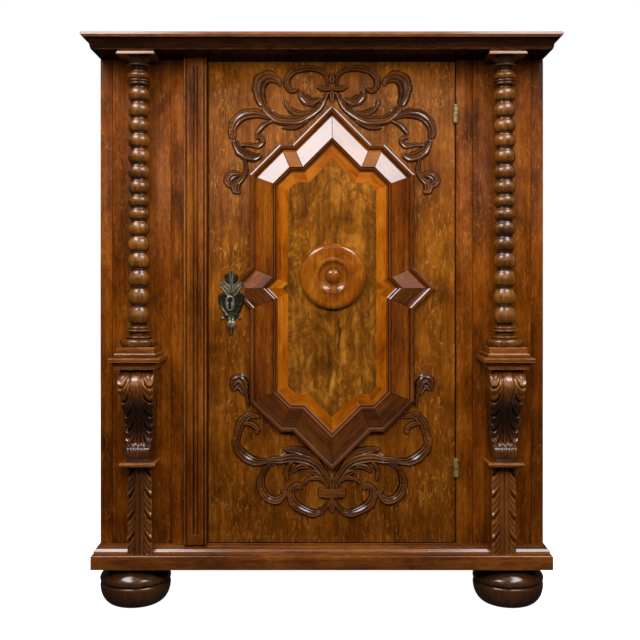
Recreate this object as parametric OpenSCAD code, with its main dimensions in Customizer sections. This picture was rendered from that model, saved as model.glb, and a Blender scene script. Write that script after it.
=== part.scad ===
// Single-door oak cabinet with bobbin-turned columns, carved consoles and a
// mitred raised panel. Millimetres, +Z up, front towards -Y, origin on the
// floor at the middle of the cabinet's box.

/* [Carcass] */
// Width over the two side boards
carcass_w = 950; // [900:1:1000]
// Depth from the front boards' faces to the back
carcass_d = 446; // [410:1:480]
// Height of the whole cabinet
total_h = 1200; // [1170:1:1230]
// Thickness of the side boards
side_t = 26; // [22:0.5:30]
// Thickness of the front boards
board_t = 24; // [20:0.5:26]
// Thickness of the back boards
back_t = 12; // [9:0.5:14]
// Thickness of the cabinet floor
floor_t = 11.5; // [9:0.5:14]
// Width of the outer front boards
outer_board_w = 125; // [115:1:135]
// Height of the rail behind the door's top
head_rail_h = 40; // [30:1:50]
// Thickness of the rail behind the door's top
head_rail_t = 20; // [16:1:24]

/* [Base and feet] */
// Thickness of the moulded base board
base_t = 30; // [24:1:36]
// Projection of the base board in front of the front boards
base_proj = 52; // [50:1:60]
// Overhang of the base board past each side board
base_side = 9; // [8:0.5:12]
// Rounding of the base board's upper edge
base_edge_r = 4; // [2:0.5:6]
// Width of the moulding on the base in front
cove_w = 30; // [20:0.5:34]
// Width of the moulding on the base at the sides
cove_side_w = 8; // [5:0.5:8]
// Diameter of a bun foot
foot_d = 150; // [130:1:156]
// Height of a bun foot
foot_h = 87; // [80:1:94]
// Diameter of the flat under a bun foot
foot_flat_d = 90; // [70:1:110]
// Distance of the feet's axes from the side boards' outer faces
foot_in = 72; // [69:1:80]
// Distance of the front feet's axes behind the front boards' faces
foot_front_in = 20; // [12:1:30]
// Distance of the rear feet's axes in front of the cabinet's back
foot_rear_in = 80; // [79:1:100]
// Diameter of the turned tenon on a foot
tenon_d = 30; // [24:1:36]
// Length of the turned tenon on a foot
tenon_l = 20; // [14:1:22]
// Clearance round and above a foot's tenon
tenon_gap = 0.2; // [0.1:0.05:0.4]

/* [Cornice] */
// Height of the cornice
cornice_h = 32.4; // [28:0.2:38]
// Projection of the cornice's lower edge in front of the front boards
cornice_proj = 87; // [85:1:95]
// Projection of the crown past the cornice's lower edge
crown_out = 17; // [12:0.5:20]
// Height of the small fillet under the crown's cove
crown_fillet_h = 3; // [2:0.5:5]
// Radius of the bead on the crown's top edge
crown_bead_r = 4.5; // [3:0.25:5.5]
// Width of the cornice's side and back boards
cornice_board_w = 45; // [40:1:60]
// Distance that the front cornice board reaches behind the front boards' faces
cornice_front_in = 40; // [30:1:60]
// Thickness of the top board
top_t = 24; // [18:1:28]

/* [Columns] */
// Distance of the columns' axes from the side boards' outer faces
column_in = 92; // [91:0.5:94]
// Distance of the columns' axes in front of the front boards
column_p = 47; // [45:0.5:47]
// Diameter of a bobbin
bobbin_d = 45.5; // [40:0.5:50]
// Diameter between two bobbins
bobbin_neck_d = 33; // [24:0.5:38]
// Diameter of the double rings at the bobbins' foot
foot_ring_d = 59; // [50:0.5:64]
// Diameter of the double rings at the bobbins' head
head_ring_d = 50.7; // [46:0.5:56]
// Diameter of the column's large foot torus
torus_d = 79; // [70:0.5:84]
// Diameter of the half bobbin under the capital
half_bobbin_d = 47.5; // [42:0.5:50]
// Upper diameter of the bell under the capital slab
bell_d = 72; // [60:0.5:76]
// Width of the capital slab
slab_w = 80; // [78:0.5:88]
// Thickness of the capital slab
slab_t = 9.9; // [8:0.1:12]
// Slope of the capital slab's edge from bottom to top
slab_bevel = 4; // [2:0.5:6]

/* [Pedestals and consoles] */
// Width of the pedestal's upper block
pedestal_w = 77; // [74:0.5:80]
// Projection of the pedestal's upper block
pedestal_p = 89; // [87:0.5:90]
// Height of the pedestal
pedestal_h = 47.3; // [44:0.1:52]
// Projection of the pedestal's main edge past its upper block
pedestal_lip = 14; // [10:0.5:14]
// Width of the console's top
console_w = 72; // [66:0.5:76]
// Width of the console's bottom
console_bottom_w = 48; // [42:0.5:56]
// Height of the console
console_h = 193.6; // [180:0.2:205]
// Projection of the console's bulge
console_p = 92; // [88:0.5:96]
// Depth of the flutes between the console's leaves
console_flute = 3.5; // [2:0.25:5]
// Width of the shelf under the console
ledge_w = 74.6; // [70:0.2:80]
// Projection of the shelf under the console
ledge_p = 70; // [68:0.5:74]
// Thickness of the shelf under the console
ledge_t = 10.1; // [8:0.1:14]
// Width of the leaf pilaster under the shelf
pilaster_w = 51.5; // [46:0.5:58]
// Projection of the leaf pilaster
pilaster_p = 47; // [44:0.5:50]
// Height of the leaf pilaster
pilaster_h = 187.3; // [175:0.1:200]

/* [Fluted strip] */
// Width of the fluted strip
strip_w = 50; // [44:0.5:54]
// Thickness of the fluted strip
strip_t = 12; // [10:0.5:15]
// Width of the stopped channel in the fluted strip
strip_channel_w = 11; // [8:0.5:13]
// Distance from the channel's ends to the strip's ends
strip_stop = 17; // [10:1:30]

/* [Door] */
// Width of the inner front board at the door's free edge
free_board_w = 78.5; // [76:0.5:84]
// Width of the inner front board at the door's hinges
hinge_board_w = 36; // [34:0.5:42]
// Gap at the door's two upright edges
door_gap = 2; // [1.5:0.25:3]
// Gap between the door's lower edge and the cabinet floor
door_gap_low = 2; // [1:0.25:4]
// Gap between the door's upper edge and the cornice
door_gap_top = 4.6; // [2:0.2:6]
// Gap between the door's back and the head rail
door_stop_gap = 0.5; // [0.3:0.1:1]
// Width of a batten on the door's back
batten_w = 60; // [45:1:80]
// Thickness of a batten on the door's back
batten_t = 20; // [14:1:22]
// Distance of the battens from the door's upper and lower edges
batten_in = 95; // [80:1:130]

/* [Raised panel] */
// Distance of the panel's upper peak from the door's upper edge
panel_top_in = 110.6; // [100:0.2:120]
// Distance of the panel's lower peak from the door's lower edge
panel_low_in = 169.9; // [160:0.1:180]
// Distance of the panel's ear from the door's free edge
ear_in_free = 59.5; // [55:0.5:66]
// Distance of the panel's ear from the door's hinge edge
ear_in_hinge = 58; // [54:0.5:66]
// Height of the panel's peaks past its shoulders
peak_rise = 79; // [70:0.5:86]
// Width of a sloping shoulder
slope_w = 58.5; // [54:0.5:66]
// Width of a side ear past the panel's upright sides
ear_out = 40.5; // [34:0.5:46]
// Width of the moulding round the bevels
rim_w = 11; // [8:0.5:14]
// Height of the moulding round the bevels
rim_h = 14.5; // [10:0.5:18]
// Width of the bevels
bevel_w = 40; // [34:0.5:44]
// Height of the bevels at their outer edge
bevel_low = 6; // [3:0.5:9]
// Height of the bevels at their inner edge
bevel_high = 25.5; // [20:0.5:30]
// Width of the step moulding inside the bevels
step_w = 9.7; // [7:0.1:13]
// Width of the crossbanding
band_w = 21.7; // [16:0.1:26]
// Thickness of the crossbanding and the field
field_t = 14; // [10:0.5:18]

/* [Roundel, carving and lock] */
// Diameter of the turned roundel
roundel_d = 141; // [130:0.5:150]
// Height of the roundel's middle over the panel's middle
roundel_up = 25.6; // [15:0.2:35]
// Depth of the roundel's turning
roundel_t = 18; // [14:0.5:24]
// Relief of the applied scroll carving
carving_t = 9; // [6:0.5:12]
// Distance of the upper carving's knot from the door's upper edge
carving_top_in = 58; // [54:0.5:64]
// Distance of the lower carving's knot from the door's lower edge
carving_low_in = 105.5; // [98:0.5:112]
// Reach of the upper carving past the panel's ears
carving_top_out = 16; // [10:0.5:22]
// Reach of the lower carving past the panel's ears
carving_low_out = 8; // [2:0.5:16]
// Distance of the keyhole from the door's free edge
key_in = 46.5; // [42:0.5:52]
// Distance of the keyhole under the panel's middle
key_low = 25.9; // [10:0.1:40]
// Diameter of the keyhole's round part
key_d = 11; // [9:0.5:13]
// Width of the keyhole's slot
key_slot_w = 6; // [5:0.25:7]
// Length of the keyhole's slot under its round part
key_slot_l = 14; // [10:0.5:18]
// Height of the key plate
plate_h = 140; // [125:0.5:150]
// Thickness of the key plate
plate_t = 2.5; // [2:0.25:4]
// Width of the lock case
lock_w = 80; // [70:1:95]
// Height of the lock case
lock_h = 90; // [80:1:110]
// Thickness of the lock case
lock_t = 16; // [14:0.5:20]
// Height of the lock bolt
bolt_h = 12; // [8:0.5:16]
// Thickness of the lock bolt
bolt_t = 7; // [5:0.5:9]
// Travel of the lock bolt
bolt_travel = 12; // [8:0.5:16]
// Running clearance round the lock bolt
bolt_gap = 0.3; // [0.3:0.05:0.5]
// Wall of the lock keep
keep_wall = 2.5; // [2:0.25:4]

/* [Hinges] */
// Height of a hinge
hinge_h = 35; // [34:0.5:50]
// Diameter of a hinge's knuckles
knuckle_d = 11.5; // [10:0.25:12]
// Diameter of a hinge pin
pin_d = 5; // [4:0.25:6]
// Running clearance round a hinge pin
pin_gap = 0.05; // [0.02:0.01:0.1]
// Gap between two knuckles
knuckle_gap = 0.3; // [0.3:0.05:0.6]
// Gap between the knuckles and the front boards' faces
knuckle_off = 0.25; // [0.2:0.05:0.5]
// Thickness of a hinge leaf
leaf_t = 1.5; // [1.2:0.1:2]
// Depth of a hinge leaf behind the front boards' faces
leaf_l = 20; // [16:0.5:22]
// Distance of the upper hinge's middle from the door's upper edge
hinge_top_in = 113; // [90:1:160]
// Distance of the lower hinge's middle from the door's lower edge
hinge_low_in = 161.5; // [110:0.5:200]
// Diameter of a screw's head
screw_head_d = 7; // [6:0.25:8]
// Diameter of a screw's shank
screw_d = 3.4; // [2.5:0.1:4]
// Length of a screw
screw_l = 18; // [12:0.5:22]
// Distance between two screws in a leaf
screw_pitch = 13; // [11:0.5:15]

/* [Shelves] */
// Thickness of a shelf
shelf_t = 20; // [16:1:24]
// Height of the lower shelf's top over the floor
shelf_low_z = 480; // [420:1:540]
// Height of the upper shelf's top over the floor
shelf_up_z = 820; // [760:1:900]
// Distance of the shelves' front edges behind the front boards' faces
shelf_in = 52; // [50:1:90]
// Gap round a shelf
shelf_gap = 0.3; // [0.2:0.1:1]
// Width and height of a shelf cleat
cleat = 18; // [14:1:24]

/* [Hidden] */
$fn = 64;

// Heights from the floor up
base_z = foot_h;
body_z = base_z + base_t;
floor_z = body_z + floor_t;
soffit_z = total_h - cornice_h;
// Depths: front_y is the front boards' face, back_y the cabinet's back
overall_d = carcass_d + cornice_proj + crown_out;
front_y = cornice_proj + crown_out - overall_d / 2;
half_w = carcass_w / 2;
inner_w = half_w - side_t;
foot_x = half_w - foot_in;
column_x = half_w - column_in;
rear_in = carcass_d - back_t;
// Door and its opening
open_l = outer_board_w + free_board_w - inner_w;
open_r = inner_w - outer_board_w - hinge_board_w;
door_l = open_l + door_gap;
door_r = open_r - door_gap;
door_t = board_t - door_stop_gap;
door_z0 = floor_z + door_gap_low;
door_z1 = soffit_z - door_gap_top;
key_x = door_l + key_in;
// Panel: middle, and half its width and height
ear_reach = (door_r - ear_in_hinge - door_l - ear_in_free) / 2;
panel_half_w = ear_reach - ear_out;
shoulder_flat = panel_half_w - peak_rise - slope_w;
panel_x = door_l + ear_in_free + ear_reach;
panel_peak = (door_z1 - panel_top_in - door_z0 - panel_low_in) / 2;
panel_shoulder = panel_peak - peak_rise;
panel_z = door_z0 + panel_low_in + panel_peak;
key_z = panel_z - key_low;
axis_x = door_r + door_gap / 2;
axis_p = knuckle_d / 2 + knuckle_off;
// Stack of pieces under a column
ledge_z0 = body_z + pilaster_h;
console_z0 = ledge_z0 + ledge_t;
console_z1 = console_z0 + console_h;
pedestal_z1 = console_z1 + pedestal_h;
column_z1 = soffit_z - slab_t;

wood_dark = "#5a3418";
wood_mid = "#6e4420";
wood_light = "#a5642a";

// Box in cabinet directions: p is the distance in front of the front boards
module block(x0, x1, p0, p1, z0, z1)
    translate([x0, front_y - p1, z0]) cube([x1 - x0, p1 - p0, z1 - z0]);

// Outline in p and z, drawn along x from x0 to x1
module along_x(outline, x0, x1)
    translate([x0, front_y, 0]) rotate([90, 0, 90])
        linear_extrude(x1 - x0) polygon([for (q = outline) [-q[0], q[1]]]);

// Outline in x and z, drawn forwards from p0 to p1
module along_p(outline, p0, p1)
    translate([0, front_y - p0, 0]) rotate([90, 0, 0])
        linear_extrude(p1 - p0) polygon(outline);

// Outline in x and p, drawn upwards from z0 to z1
module along_z(outline, z0, z1)
    translate([0, front_y, z0])
        linear_extrude(z1 - z0) polygon([for (q = outline) [q[0], -q[1]]]);

// Places a flat design, drawn in x and y with its height in z, on the front
module on_front(x, z, p = 0) translate([x, front_y - p, z]) rotate([90, 0, 0]) children();

module turned(x, p, z, profile)
    translate([x, front_y - p, z]) rotate_extrude() polygon(profile);

function arc(cx, cy, rx, ry, a0, a1, n) =
    [for (i = [0:n]) let (a = a0 + (a1 - a0) * i / n) [cx + rx * cos(a), cy + ry * sin(a)]];

// Half round bulge of a turning between two heights
function bulge(z0, z1, r_in, r_out, n = 8) =
    [for (i = [0:n]) let (a = 180 * i / n)
        [r_in + (r_out - r_in) * sin(a), (z0 + z1) / 2 - (z1 - z0) / 2 * cos(a)]];

// Block whose front and two sides share one moulding: profile holds [offset, height]
module moulded_block(x, w, p, profile, p_back = 0) {
    z_low = profile[0][1];
    z_high = profile[len(profile) - 1][1];
    n = len(profile);
    intersection() {
        along_x(concat([[p_back, z_high], [p_back, z_low]], [for (q = profile) [p + q[0], q[1]]]),
                x - w, x + w);
        along_p(concat([for (q = profile) [x + w / 2 + q[0], q[1]]],
                       [for (i = [n - 1:-1:0]) [x - w / 2 - profile[i][0], profile[i][1]]]),
                p_back, p + w);
    }
}

function curve_point(a, b, c, d, t) =
    0.5 * (2 * b + (c - a) * t + (2 * a - 5 * b + 4 * c - d) * t * t
           + (3 * b - a - 3 * c + d) * t * t * t);

// Smooth curve through points, with n steps between two of them
function smooth(pts, n = 4) = let (m = len(pts) - 1)
    [for (i = [0:m - 1]) for (k = [0:n - 1])
        curve_point(pts[max(i - 1, 0)], pts[i], pts[i + 1], pts[min(i + 2, m)], k / n), pts[m]];

function unit(v) = v / norm(v);
function left_of(v) = [-v[1], v[0]];

// Moves a closed outline inwards by d, with mitred corners
function inset(outline, d) = let (n = len(outline))
    [for (i = [0:n - 1])
        let (a = left_of(unit(outline[i] - outline[(i + n - 1) % n])),
             b = left_of(unit(outline[(i + 1) % n] - outline[i])))
        outline[i] + d * (a + b) / (1 + a * b)];

// Moulding round a closed outline: profile holds [distance inwards, height]
module mitred_ring(outline, profile) {
    n = len(outline);
    m = len(profile);
    points = [for (j = [0:m - 1]) for (q = inset(outline, profile[j][0])) [q[0], q[1], profile[j][1]]];
    faces = [for (j = [0:m - 1]) for (i = [0:n - 1])
        [j * n + i, j * n + (i + 1) % n, ((j + 1) % m) * n + (i + 1) % n, ((j + 1) % m) * n + i]];
    polyhedron(points, faces, convexity = 6);
}

// Leaf or stem of the carving: widths at its start, middle and end, then its line
module stroke(s) {
    line = smooth(s[3]);
    m = len(line) - 1;
    function width(t) = t < 0.5 ? s[0] + (s[1] - s[0]) * sin(180 * t) : s[2] + (s[1] - s[2]) * sin(180 * t);
    side = [for (i = [0:m]) left_of(unit(line[min(i + 1, m)] - line[max(i - 1, 0)])) * width(i / m) / 2];
    polygon(concat([for (i = [0:m]) line[i] + side[i]], [for (i = [m:-1:0]) line[i] - side[i]]));
}

// Closes the cracks between crossing leaves that are narrower than a gouge's cut
crack = 0.3;
module closed_up() offset(delta = 0.02) offset(delta = -crack) offset(delta = crack) children();

module base_board() color(wood_mid) {
    edge = base_edge_r;
    front_edge = arc(base_proj - edge, body_z - edge, edge, edge, 0, 90, 4);
    side_edge = arc(half_w + base_side - edge, body_z - edge, edge, edge, 0, 90, 4);
    n = len(side_edge);
    difference() {
        intersection() {
            along_x(concat([[-carcass_d, base_z], [base_proj, base_z]], front_edge,
                           [[-carcass_d, body_z]]), -carcass_w, carcass_w);
            along_p(concat([[-half_w - base_side, base_z], [half_w + base_side, base_z]], side_edge,
                           [for (i = [n - 1:-1:0]) [-side_edge[i][0], side_edge[i][1]]]),
                    -carcass_d, base_proj + 1);
        }
        for (x = [-foot_x, foot_x]) for (p = foot_places)
            translate([x, front_y - p, base_z - 1])
                cylinder(h = tenon_l + tenon_gap + 1, d = tenon_d + 2 * tenon_gap);
    }
}

foot_places = [-foot_front_in, foot_rear_in - carcass_d];

seat_gap = 0.3;
cove_toe = 1;
cove_lip = 2;
// Moulding on the base: a hollow under a narrow lip, and a rounded toe
function cove_outline(w) = let (round_w = min(6, 0.4 * w), round_h = 0.42 * floor_t)
    concat([[0, 0], [w, 0], [w, cove_toe]],
    [for (i = [1:4]) [w - round_w * (1 - cos(22.5 * i)), cove_toe + (round_h - cove_toe) * sin(22.5 * i)]],
    [for (i = [1:6]) [w - round_w - (w - round_w - cove_lip) * sin(15 * i),
                      round_h + (floor_t - cove_toe - round_h) * (1 - cos(15 * i))]],
    [[cove_lip, floor_t], [0, floor_t]]);

module base_moulding_front() color(wood_mid) intersection() {
    along_x([for (q = cove_outline(cove_w)) [q[0], body_z + q[1]]], -carcass_w, carcass_w);
    along_z([[-half_w, 0], [-half_w - cove_side_w, cove_w], [half_w + cove_side_w, cove_w],
             [half_w, 0]], body_z, floor_z);
}

module base_moulding_side(s) color(wood_mid) intersection() {
    along_p([for (q = cove_outline(cove_side_w)) [s * (half_w + q[0]), body_z + q[1]]],
            -carcass_d, cove_w + 1);
    along_z([[s * half_w, 0], [s * (half_w + cove_side_w), cove_w],
             [s * (half_w + cove_side_w), -carcass_d], [s * half_w, -carcass_d]], body_z, floor_z);
}

module base_moulding_left() base_moulding_side(-1);
module base_moulding_right() base_moulding_side(1);

foot_widest_z = 58;
foot_top_in = 9;
foot_groove_z = 49;
foot_groove = 2.5;

module bun_foot(x, p) color(wood_dark) {
    r = foot_d / 2;
    r0 = foot_flat_d / 2;
    belly = [for (i = [0:10]) let (a = 9 * i)
        [r0 + (r - r0) * sin(a), foot_widest_z * (1 - cos(a))]];
    crown = [for (i = [1:6]) let (a = 15 * i)
        [r - foot_top_in * (1 - cos(a)), foot_widest_z + (foot_h - foot_widest_z) * sin(a)]];
    difference() {
        turned(x, p, 0, concat([[0, 0]], belly, crown, [[tenon_d / 2, foot_h],
               [tenon_d / 2, foot_h + tenon_l], [0, foot_h + tenon_l]]));
        turned(x, p, foot_groove_z, [[r - foot_groove, 0], [r + 1, -foot_groove], [r + 1, foot_groove]]);
    }
}

module foot_front_left() bun_foot(-foot_x, foot_places[0]);
module foot_front_right() bun_foot(foot_x, foot_places[0]);
module foot_rear_left() bun_foot(-foot_x, foot_places[1]);
module foot_rear_right() bun_foot(foot_x, foot_places[1]);

module side_board(s) color(wood_mid)
    block(min(s * inner_w, s * half_w), max(s * inner_w, s * half_w), -carcass_d, 0, body_z, soffit_z);
module side_left() side_board(-1);
module side_right() side_board(1);

module front_board(x0, x1) color(wood_mid) block(x0, x1, -board_t, 0, body_z, soffit_z);
module front_board_left_outer() front_board(-inner_w, outer_board_w - inner_w);
module front_board_left_inner() front_board(outer_board_w - inner_w, open_l);
module front_board_right_outer() front_board(inner_w - outer_board_w, inner_w);
module front_board_right_inner() difference() {
    front_board(open_r, inner_w - outer_board_w);
    for (z = hinge_places) {
        block(open_r - 1, open_r + leaf_t, -leaf_l, 1, z - hinge_h / 2, z + hinge_h / 2);
        leaf_screws(z, 1, pin_gap);
    }
}

module sill() color(wood_mid) block(open_l, open_r, -board_t, 0, body_z, floor_z);
module head_rail() color(wood_mid)
    block(-inner_w, inner_w, -board_t - head_rail_t, -board_t, soffit_z - head_rail_h, soffit_z);
module floor_board() color(wood_mid) block(-inner_w, inner_w, -rear_in, -board_t, body_z, floor_z);

back_w = 2 * inner_w / 3;
module back_board(i) color(wood_dark)
    block(-inner_w + i * back_w, -inner_w + (i + 1) * back_w, -carcass_d, -rear_in, body_z, soffit_z);
module back_board_left() back_board(0);
module back_board_middle() back_board(1);
module back_board_right() back_board(2);

module shelf(z) color(wood_mid)
    block(-inner_w + shelf_gap, inner_w - shelf_gap, -rear_in + shelf_gap, -shelf_in, z - shelf_t, z);
module shelf_lower() shelf(shelf_low_z);
module shelf_upper() shelf(shelf_up_z);
module shelf_cleats() color(wood_dark)
    for (z = [shelf_low_z, shelf_up_z]) for (x = [-inner_w, inner_w - cleat])
        block(x, x + cleat, -rear_in, -shelf_in, z - shelf_t - cleat, z - shelf_t);

// Cornice moulding: [projection past the lower edge, height over the soffit]
crown_lip = 1;
cove_top = cornice_h - 2 * crown_bead_r - 1.4;
crown_edge = concat([[0, 0], [0, crown_fillet_h], [crown_lip, crown_fillet_h]],
    [for (i = [1:7]) let (a = 90 * i / 7)
        [crown_lip + (crown_out - crown_lip - 3) * (1 - cos(a)),
         crown_fillet_h + (cove_top - crown_fillet_h) * sin(a)]],
    arc(crown_out - crown_bead_r, cornice_h - crown_bead_r, crown_bead_r, crown_bead_r, -72, 90, 9));
crown_corner = half_w + crown_out;
crown_inner = half_w - cornice_board_w;

module cornice_front() color(wood_mid) intersection() {
    along_x([for (q = concat([[-cornice_proj - cornice_front_in, 0]], crown_edge,
                             [[-cornice_proj - cornice_front_in, cornice_h]]))
             [cornice_proj + q[0], soffit_z + q[1]]], -carcass_w, carcass_w);
    along_z([[-crown_corner, cornice_proj + crown_out], [crown_corner, cornice_proj + crown_out],
             [crown_inner, cornice_proj - cornice_board_w], [crown_inner, -cornice_front_in],
             [-crown_inner, -cornice_front_in], [-crown_inner, cornice_proj - cornice_board_w]],
            soffit_z, total_h);
}

module cornice_side(s) color(wood_mid) intersection() {
    along_p([for (q = concat([[-cornice_board_w, 0]], crown_edge, [[-cornice_board_w, cornice_h]]))
             [s * (half_w + q[0]), soffit_z + q[1]]], -carcass_d, cornice_proj + crown_out + 1);
    along_z([[s * crown_corner, cornice_proj + crown_out], [s * crown_corner, -carcass_d],
             [s * crown_inner, -carcass_d], [s * crown_inner, cornice_proj - cornice_board_w]],
            soffit_z, total_h);
}

module cornice_left() cornice_side(-1);
module cornice_right() cornice_side(1);
module cornice_back() color(wood_mid)
    block(-crown_inner, crown_inner, -carcass_d, cornice_board_w - carcass_d, soffit_z, total_h);
module top_board() color(wood_mid)
    block(-crown_inner, crown_inner, cornice_board_w - carcass_d, -cornice_front_in,
          total_h - top_t, total_h);

// Heights of a column's turned members, from its foot and from its head
torus_h = 16;
small_torus_h = 7;
neck_h = 7.5;
ring_h = 5.8;
foot_cove_h = 6;
bell_h = 13;
head_collar_h = 6;
head_neck_h = 7;
half_bobbin_h = 17;
head_cove_h = 3;
// Relative lengths of the bobbins from the bottom to the top
bobbin_share = [19, 18, 18, 17, 16, 15, 13, 13, 15, 15, 16, 15, 15, 16, 15];
// Bobbin from joint to joint: [share of its swelling, share of its height]
bobbin_line = [[0, 0], [0.42, 0.05], [0.86, 0.19], [1, 0.38], [0.88, 0.56], [0.5, 0.72], [0.14, 0.84],
               [0, 0.94], [0, 1]];

function total(list, n) = n == 0 ? 0 : list[n - 1] + total(list, n - 1);

module column(s) color(wood_light) {
    neck = bobbin_neck_d / 2;
    run_z0 = pedestal_z1 + torus_h + small_torus_h + neck_h + 2 * ring_h + foot_cove_h;
    run_z1 = column_z1 - bell_h - head_collar_h - head_neck_h - half_bobbin_h - head_cove_h
             - 2 * ring_h;
    count = len(bobbin_share);
    unit_h = (run_z1 - run_z0) / total(bobbin_share, count);
    foot = concat([[0, pedestal_z1]],
        bulge(pedestal_z1, pedestal_z1 + torus_h, torus_d / 2 - 7, torus_d / 2),
        bulge(pedestal_z1 + torus_h, pedestal_z1 + torus_h + small_torus_h, neck + 5, neck + 12, 6),
        arc(neck + 8, pedestal_z1 + torus_h + small_torus_h + neck_h / 2, 5, neck_h / 2, -90, -270, 6),
        bulge(run_z0 - foot_cove_h - 2 * ring_h, run_z0 - foot_cove_h - ring_h,
              foot_ring_d / 2 - 4, foot_ring_d / 2, 6),
        bulge(run_z0 - foot_cove_h - ring_h, run_z0 - foot_cove_h,
              foot_ring_d / 2 - 4, foot_ring_d / 2 - 1, 6));
    bobbins = [for (i = [0:count - 1])
        let (z0 = run_z0 + unit_h * total(bobbin_share, i), z1 = z0 + unit_h * bobbin_share[i])
        for (q = bobbin_line) [neck + (bobbin_d / 2 - neck) * q[0], z0 + 0.5 + (z1 - z0 - 1) * q[1]]];
    head = concat(
        bulge(run_z1, run_z1 + ring_h, head_ring_d / 2 - 3.5, head_ring_d / 2 - 1, 6),
        bulge(run_z1 + ring_h, run_z1 + 2 * ring_h, head_ring_d / 2 - 3.5, head_ring_d / 2, 6),
        [for (q = bobbin_line) [neck + (half_bobbin_d / 2 - neck) * q[0],
                                run_z1 + 2 * ring_h + head_cove_h + half_bobbin_h * q[1]]],
        arc(neck + 2, column_z1 - bell_h - head_collar_h - head_neck_h / 2, 4, head_neck_h / 2,
            -90, -270, 6),
        bulge(column_z1 - bell_h - head_collar_h, column_z1 - bell_h, neck + 3, head_ring_d / 2, 6),
        [for (i = [0:6]) let (a = 15 * i)
            [neck + 3 + (bell_d / 2 - neck - 3) * (1 - cos(a)), column_z1 - bell_h * (1 - sin(a))]],
        [[0, column_z1]]);
    turned(s * column_x, column_p, 0, concat(foot, bobbins, head));
}

module column_left() column(-1);
module column_right() column(1);

module capital(s) color(wood_mid)
    moulded_block(s * column_x, slab_w, column_p + slab_w / 2,
                  [[0, column_z1], [-slab_bevel, soffit_z]], column_p - slab_w / 2);
module capital_left() capital(-1);
module capital_right() capital(1);

// Pedestal moulding: [offset from the upper block, share of the pedestal's height]
module pedestal(s) color(wood_mid) {
    foot_step = 3.5;
    z = function(t) console_z1 + pedestal_h * t;
    moulded_block(s * column_x, pedestal_w, pedestal_p, concat(
        [[-foot_step, z(0)], [-foot_step, z(0.04)], [foot_step, z(0.04)], [foot_step, z(0.15)]],
        [for (i = [1:5]) [foot_step + (pedestal_lip - foot_step) * (1 - cos(18 * i)),
                          z(0.15 + 0.21 * sin(18 * i))]],
        [[pedestal_lip, z(0.54)], [pedestal_lip - 1.5, z(0.57)], [4, z(0.57)], [4, z(0.72)],
         [3, z(0.735)], [0, z(0.735)], [0, z(1)]]));
}
module pedestal_left() pedestal(-1);
module pedestal_right() pedestal(1);

// Scroll line of a console seen from the side: [projection, share of its height]
function scroll_line(cut) = let (p = console_p - cut)
    smooth([[p - 8, 1], [p, 0.93], [p - 1, 0.83], [p - 13, 0.69], [p - 28, 0.56], [p - 39, 0.43],
            [p - 42, 0.31], [p - 37, 0.2], [p - 28, 0.12], [p - 25, 0.06], [p - 31, 0]], 3);

module console(s) color(wood_light) {
    z = function(t) console_z0 + console_h * t;
    lobes = 5;
    steps = 30;
    half = function(t) (console_bottom_w + (console_w - console_bottom_w) * pow(t, 0.8)) / 2
                       - 3 * (1 - abs(sin(180 * lobes * t)));
    edge = [for (i = [0:steps]) [half(i / steps), z(i / steps)]];
    ribs = [[-0.5, -0.3], [-0.26, -0.1], [-0.07, 0.07], [0.1, 0.26], [0.3, 0.5]];
    intersection() {
        union() {
            along_x(concat([for (q = scroll_line(console_flute)) [q[0], z(q[1])]], [[0, z(0)], [0, z(1)]]),
                    s * column_x - console_w / 2, s * column_x + console_w / 2);
            for (r = ribs)
                along_x(concat([for (q = scroll_line(0)) [q[0], z(q[1])]], [[0, z(0)], [0, z(1)]]),
                        s * column_x + console_w * r[0], s * column_x + console_w * r[1]);
        }
        along_p(concat([for (q = edge) [s * column_x + q[0], q[1]]],
                       [for (i = [steps:-1:0]) [s * column_x - edge[i][0], edge[i][1]]]), 0, console_p + 1);
    }
}
module console_left() console(-1);
module console_right() console(1);

module ledge(s) color(wood_mid)
    moulded_block(s * column_x, ledge_w, ledge_p,
                  [[-4, ledge_z0], [-1, ledge_z0 + 0.2 * ledge_t], [0, ledge_z0 + 0.4 * ledge_t],
                   [0, ledge_z0 + 0.8 * ledge_t], [-2, console_z0]]);
module ledge_left() ledge(-1);
module ledge_right() ledge(1);

module pilaster(s) color(wood_light) difference() {
    pilaster_body(s);
    block(s * column_x - pilaster_w, s * column_x + pilaster_w, -1, cove_w + seat_gap,
          body_z - 1, floor_z + seat_gap);
}

module pilaster_body(s) {
    x = s * column_x;
    lobes = 4;
    steps = 32;
    leaf_in = 3;
    bead_r = 4.5;
    z = function(t) body_z + (ledge_z0 - body_z) * t;
    half = function(t) pilaster_w / 2 - leaf_in * pow(1 - abs(sin(180 * lobes * t)), 2);
    edge = [for (i = [0:steps]) [half(i / steps), z(i / steps)]];
    along_p(concat([for (q = edge) [x + q[0], q[1]]],
                   [for (i = [steps:-1:0]) [x - edge[i][0], edge[i][1]]]), 0, pilaster_p - 7);
    along_z([[x - pilaster_w / 2 + leaf_in + 1, 0], [x - pilaster_w / 2 + leaf_in + 1, pilaster_p - 6],
             [x - 14, pilaster_p - 3], [x - 9.5, pilaster_p - 4.5], [x + 9.5, pilaster_p - 4.5],
             [x + 14, pilaster_p - 3], [x + pilaster_w / 2 - leaf_in - 1, pilaster_p - 6],
             [x + pilaster_w / 2 - leaf_in - 1, 0]], body_z, ledge_z0);
    for (side = [-bead_r, bead_r])
        translate([x + side, front_y - pilaster_p + bead_r, body_z])
            cylinder(h = ledge_z0 - body_z, r = bead_r);
}
module pilaster_left() pilaster(-1);
module pilaster_right() pilaster(1);

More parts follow.
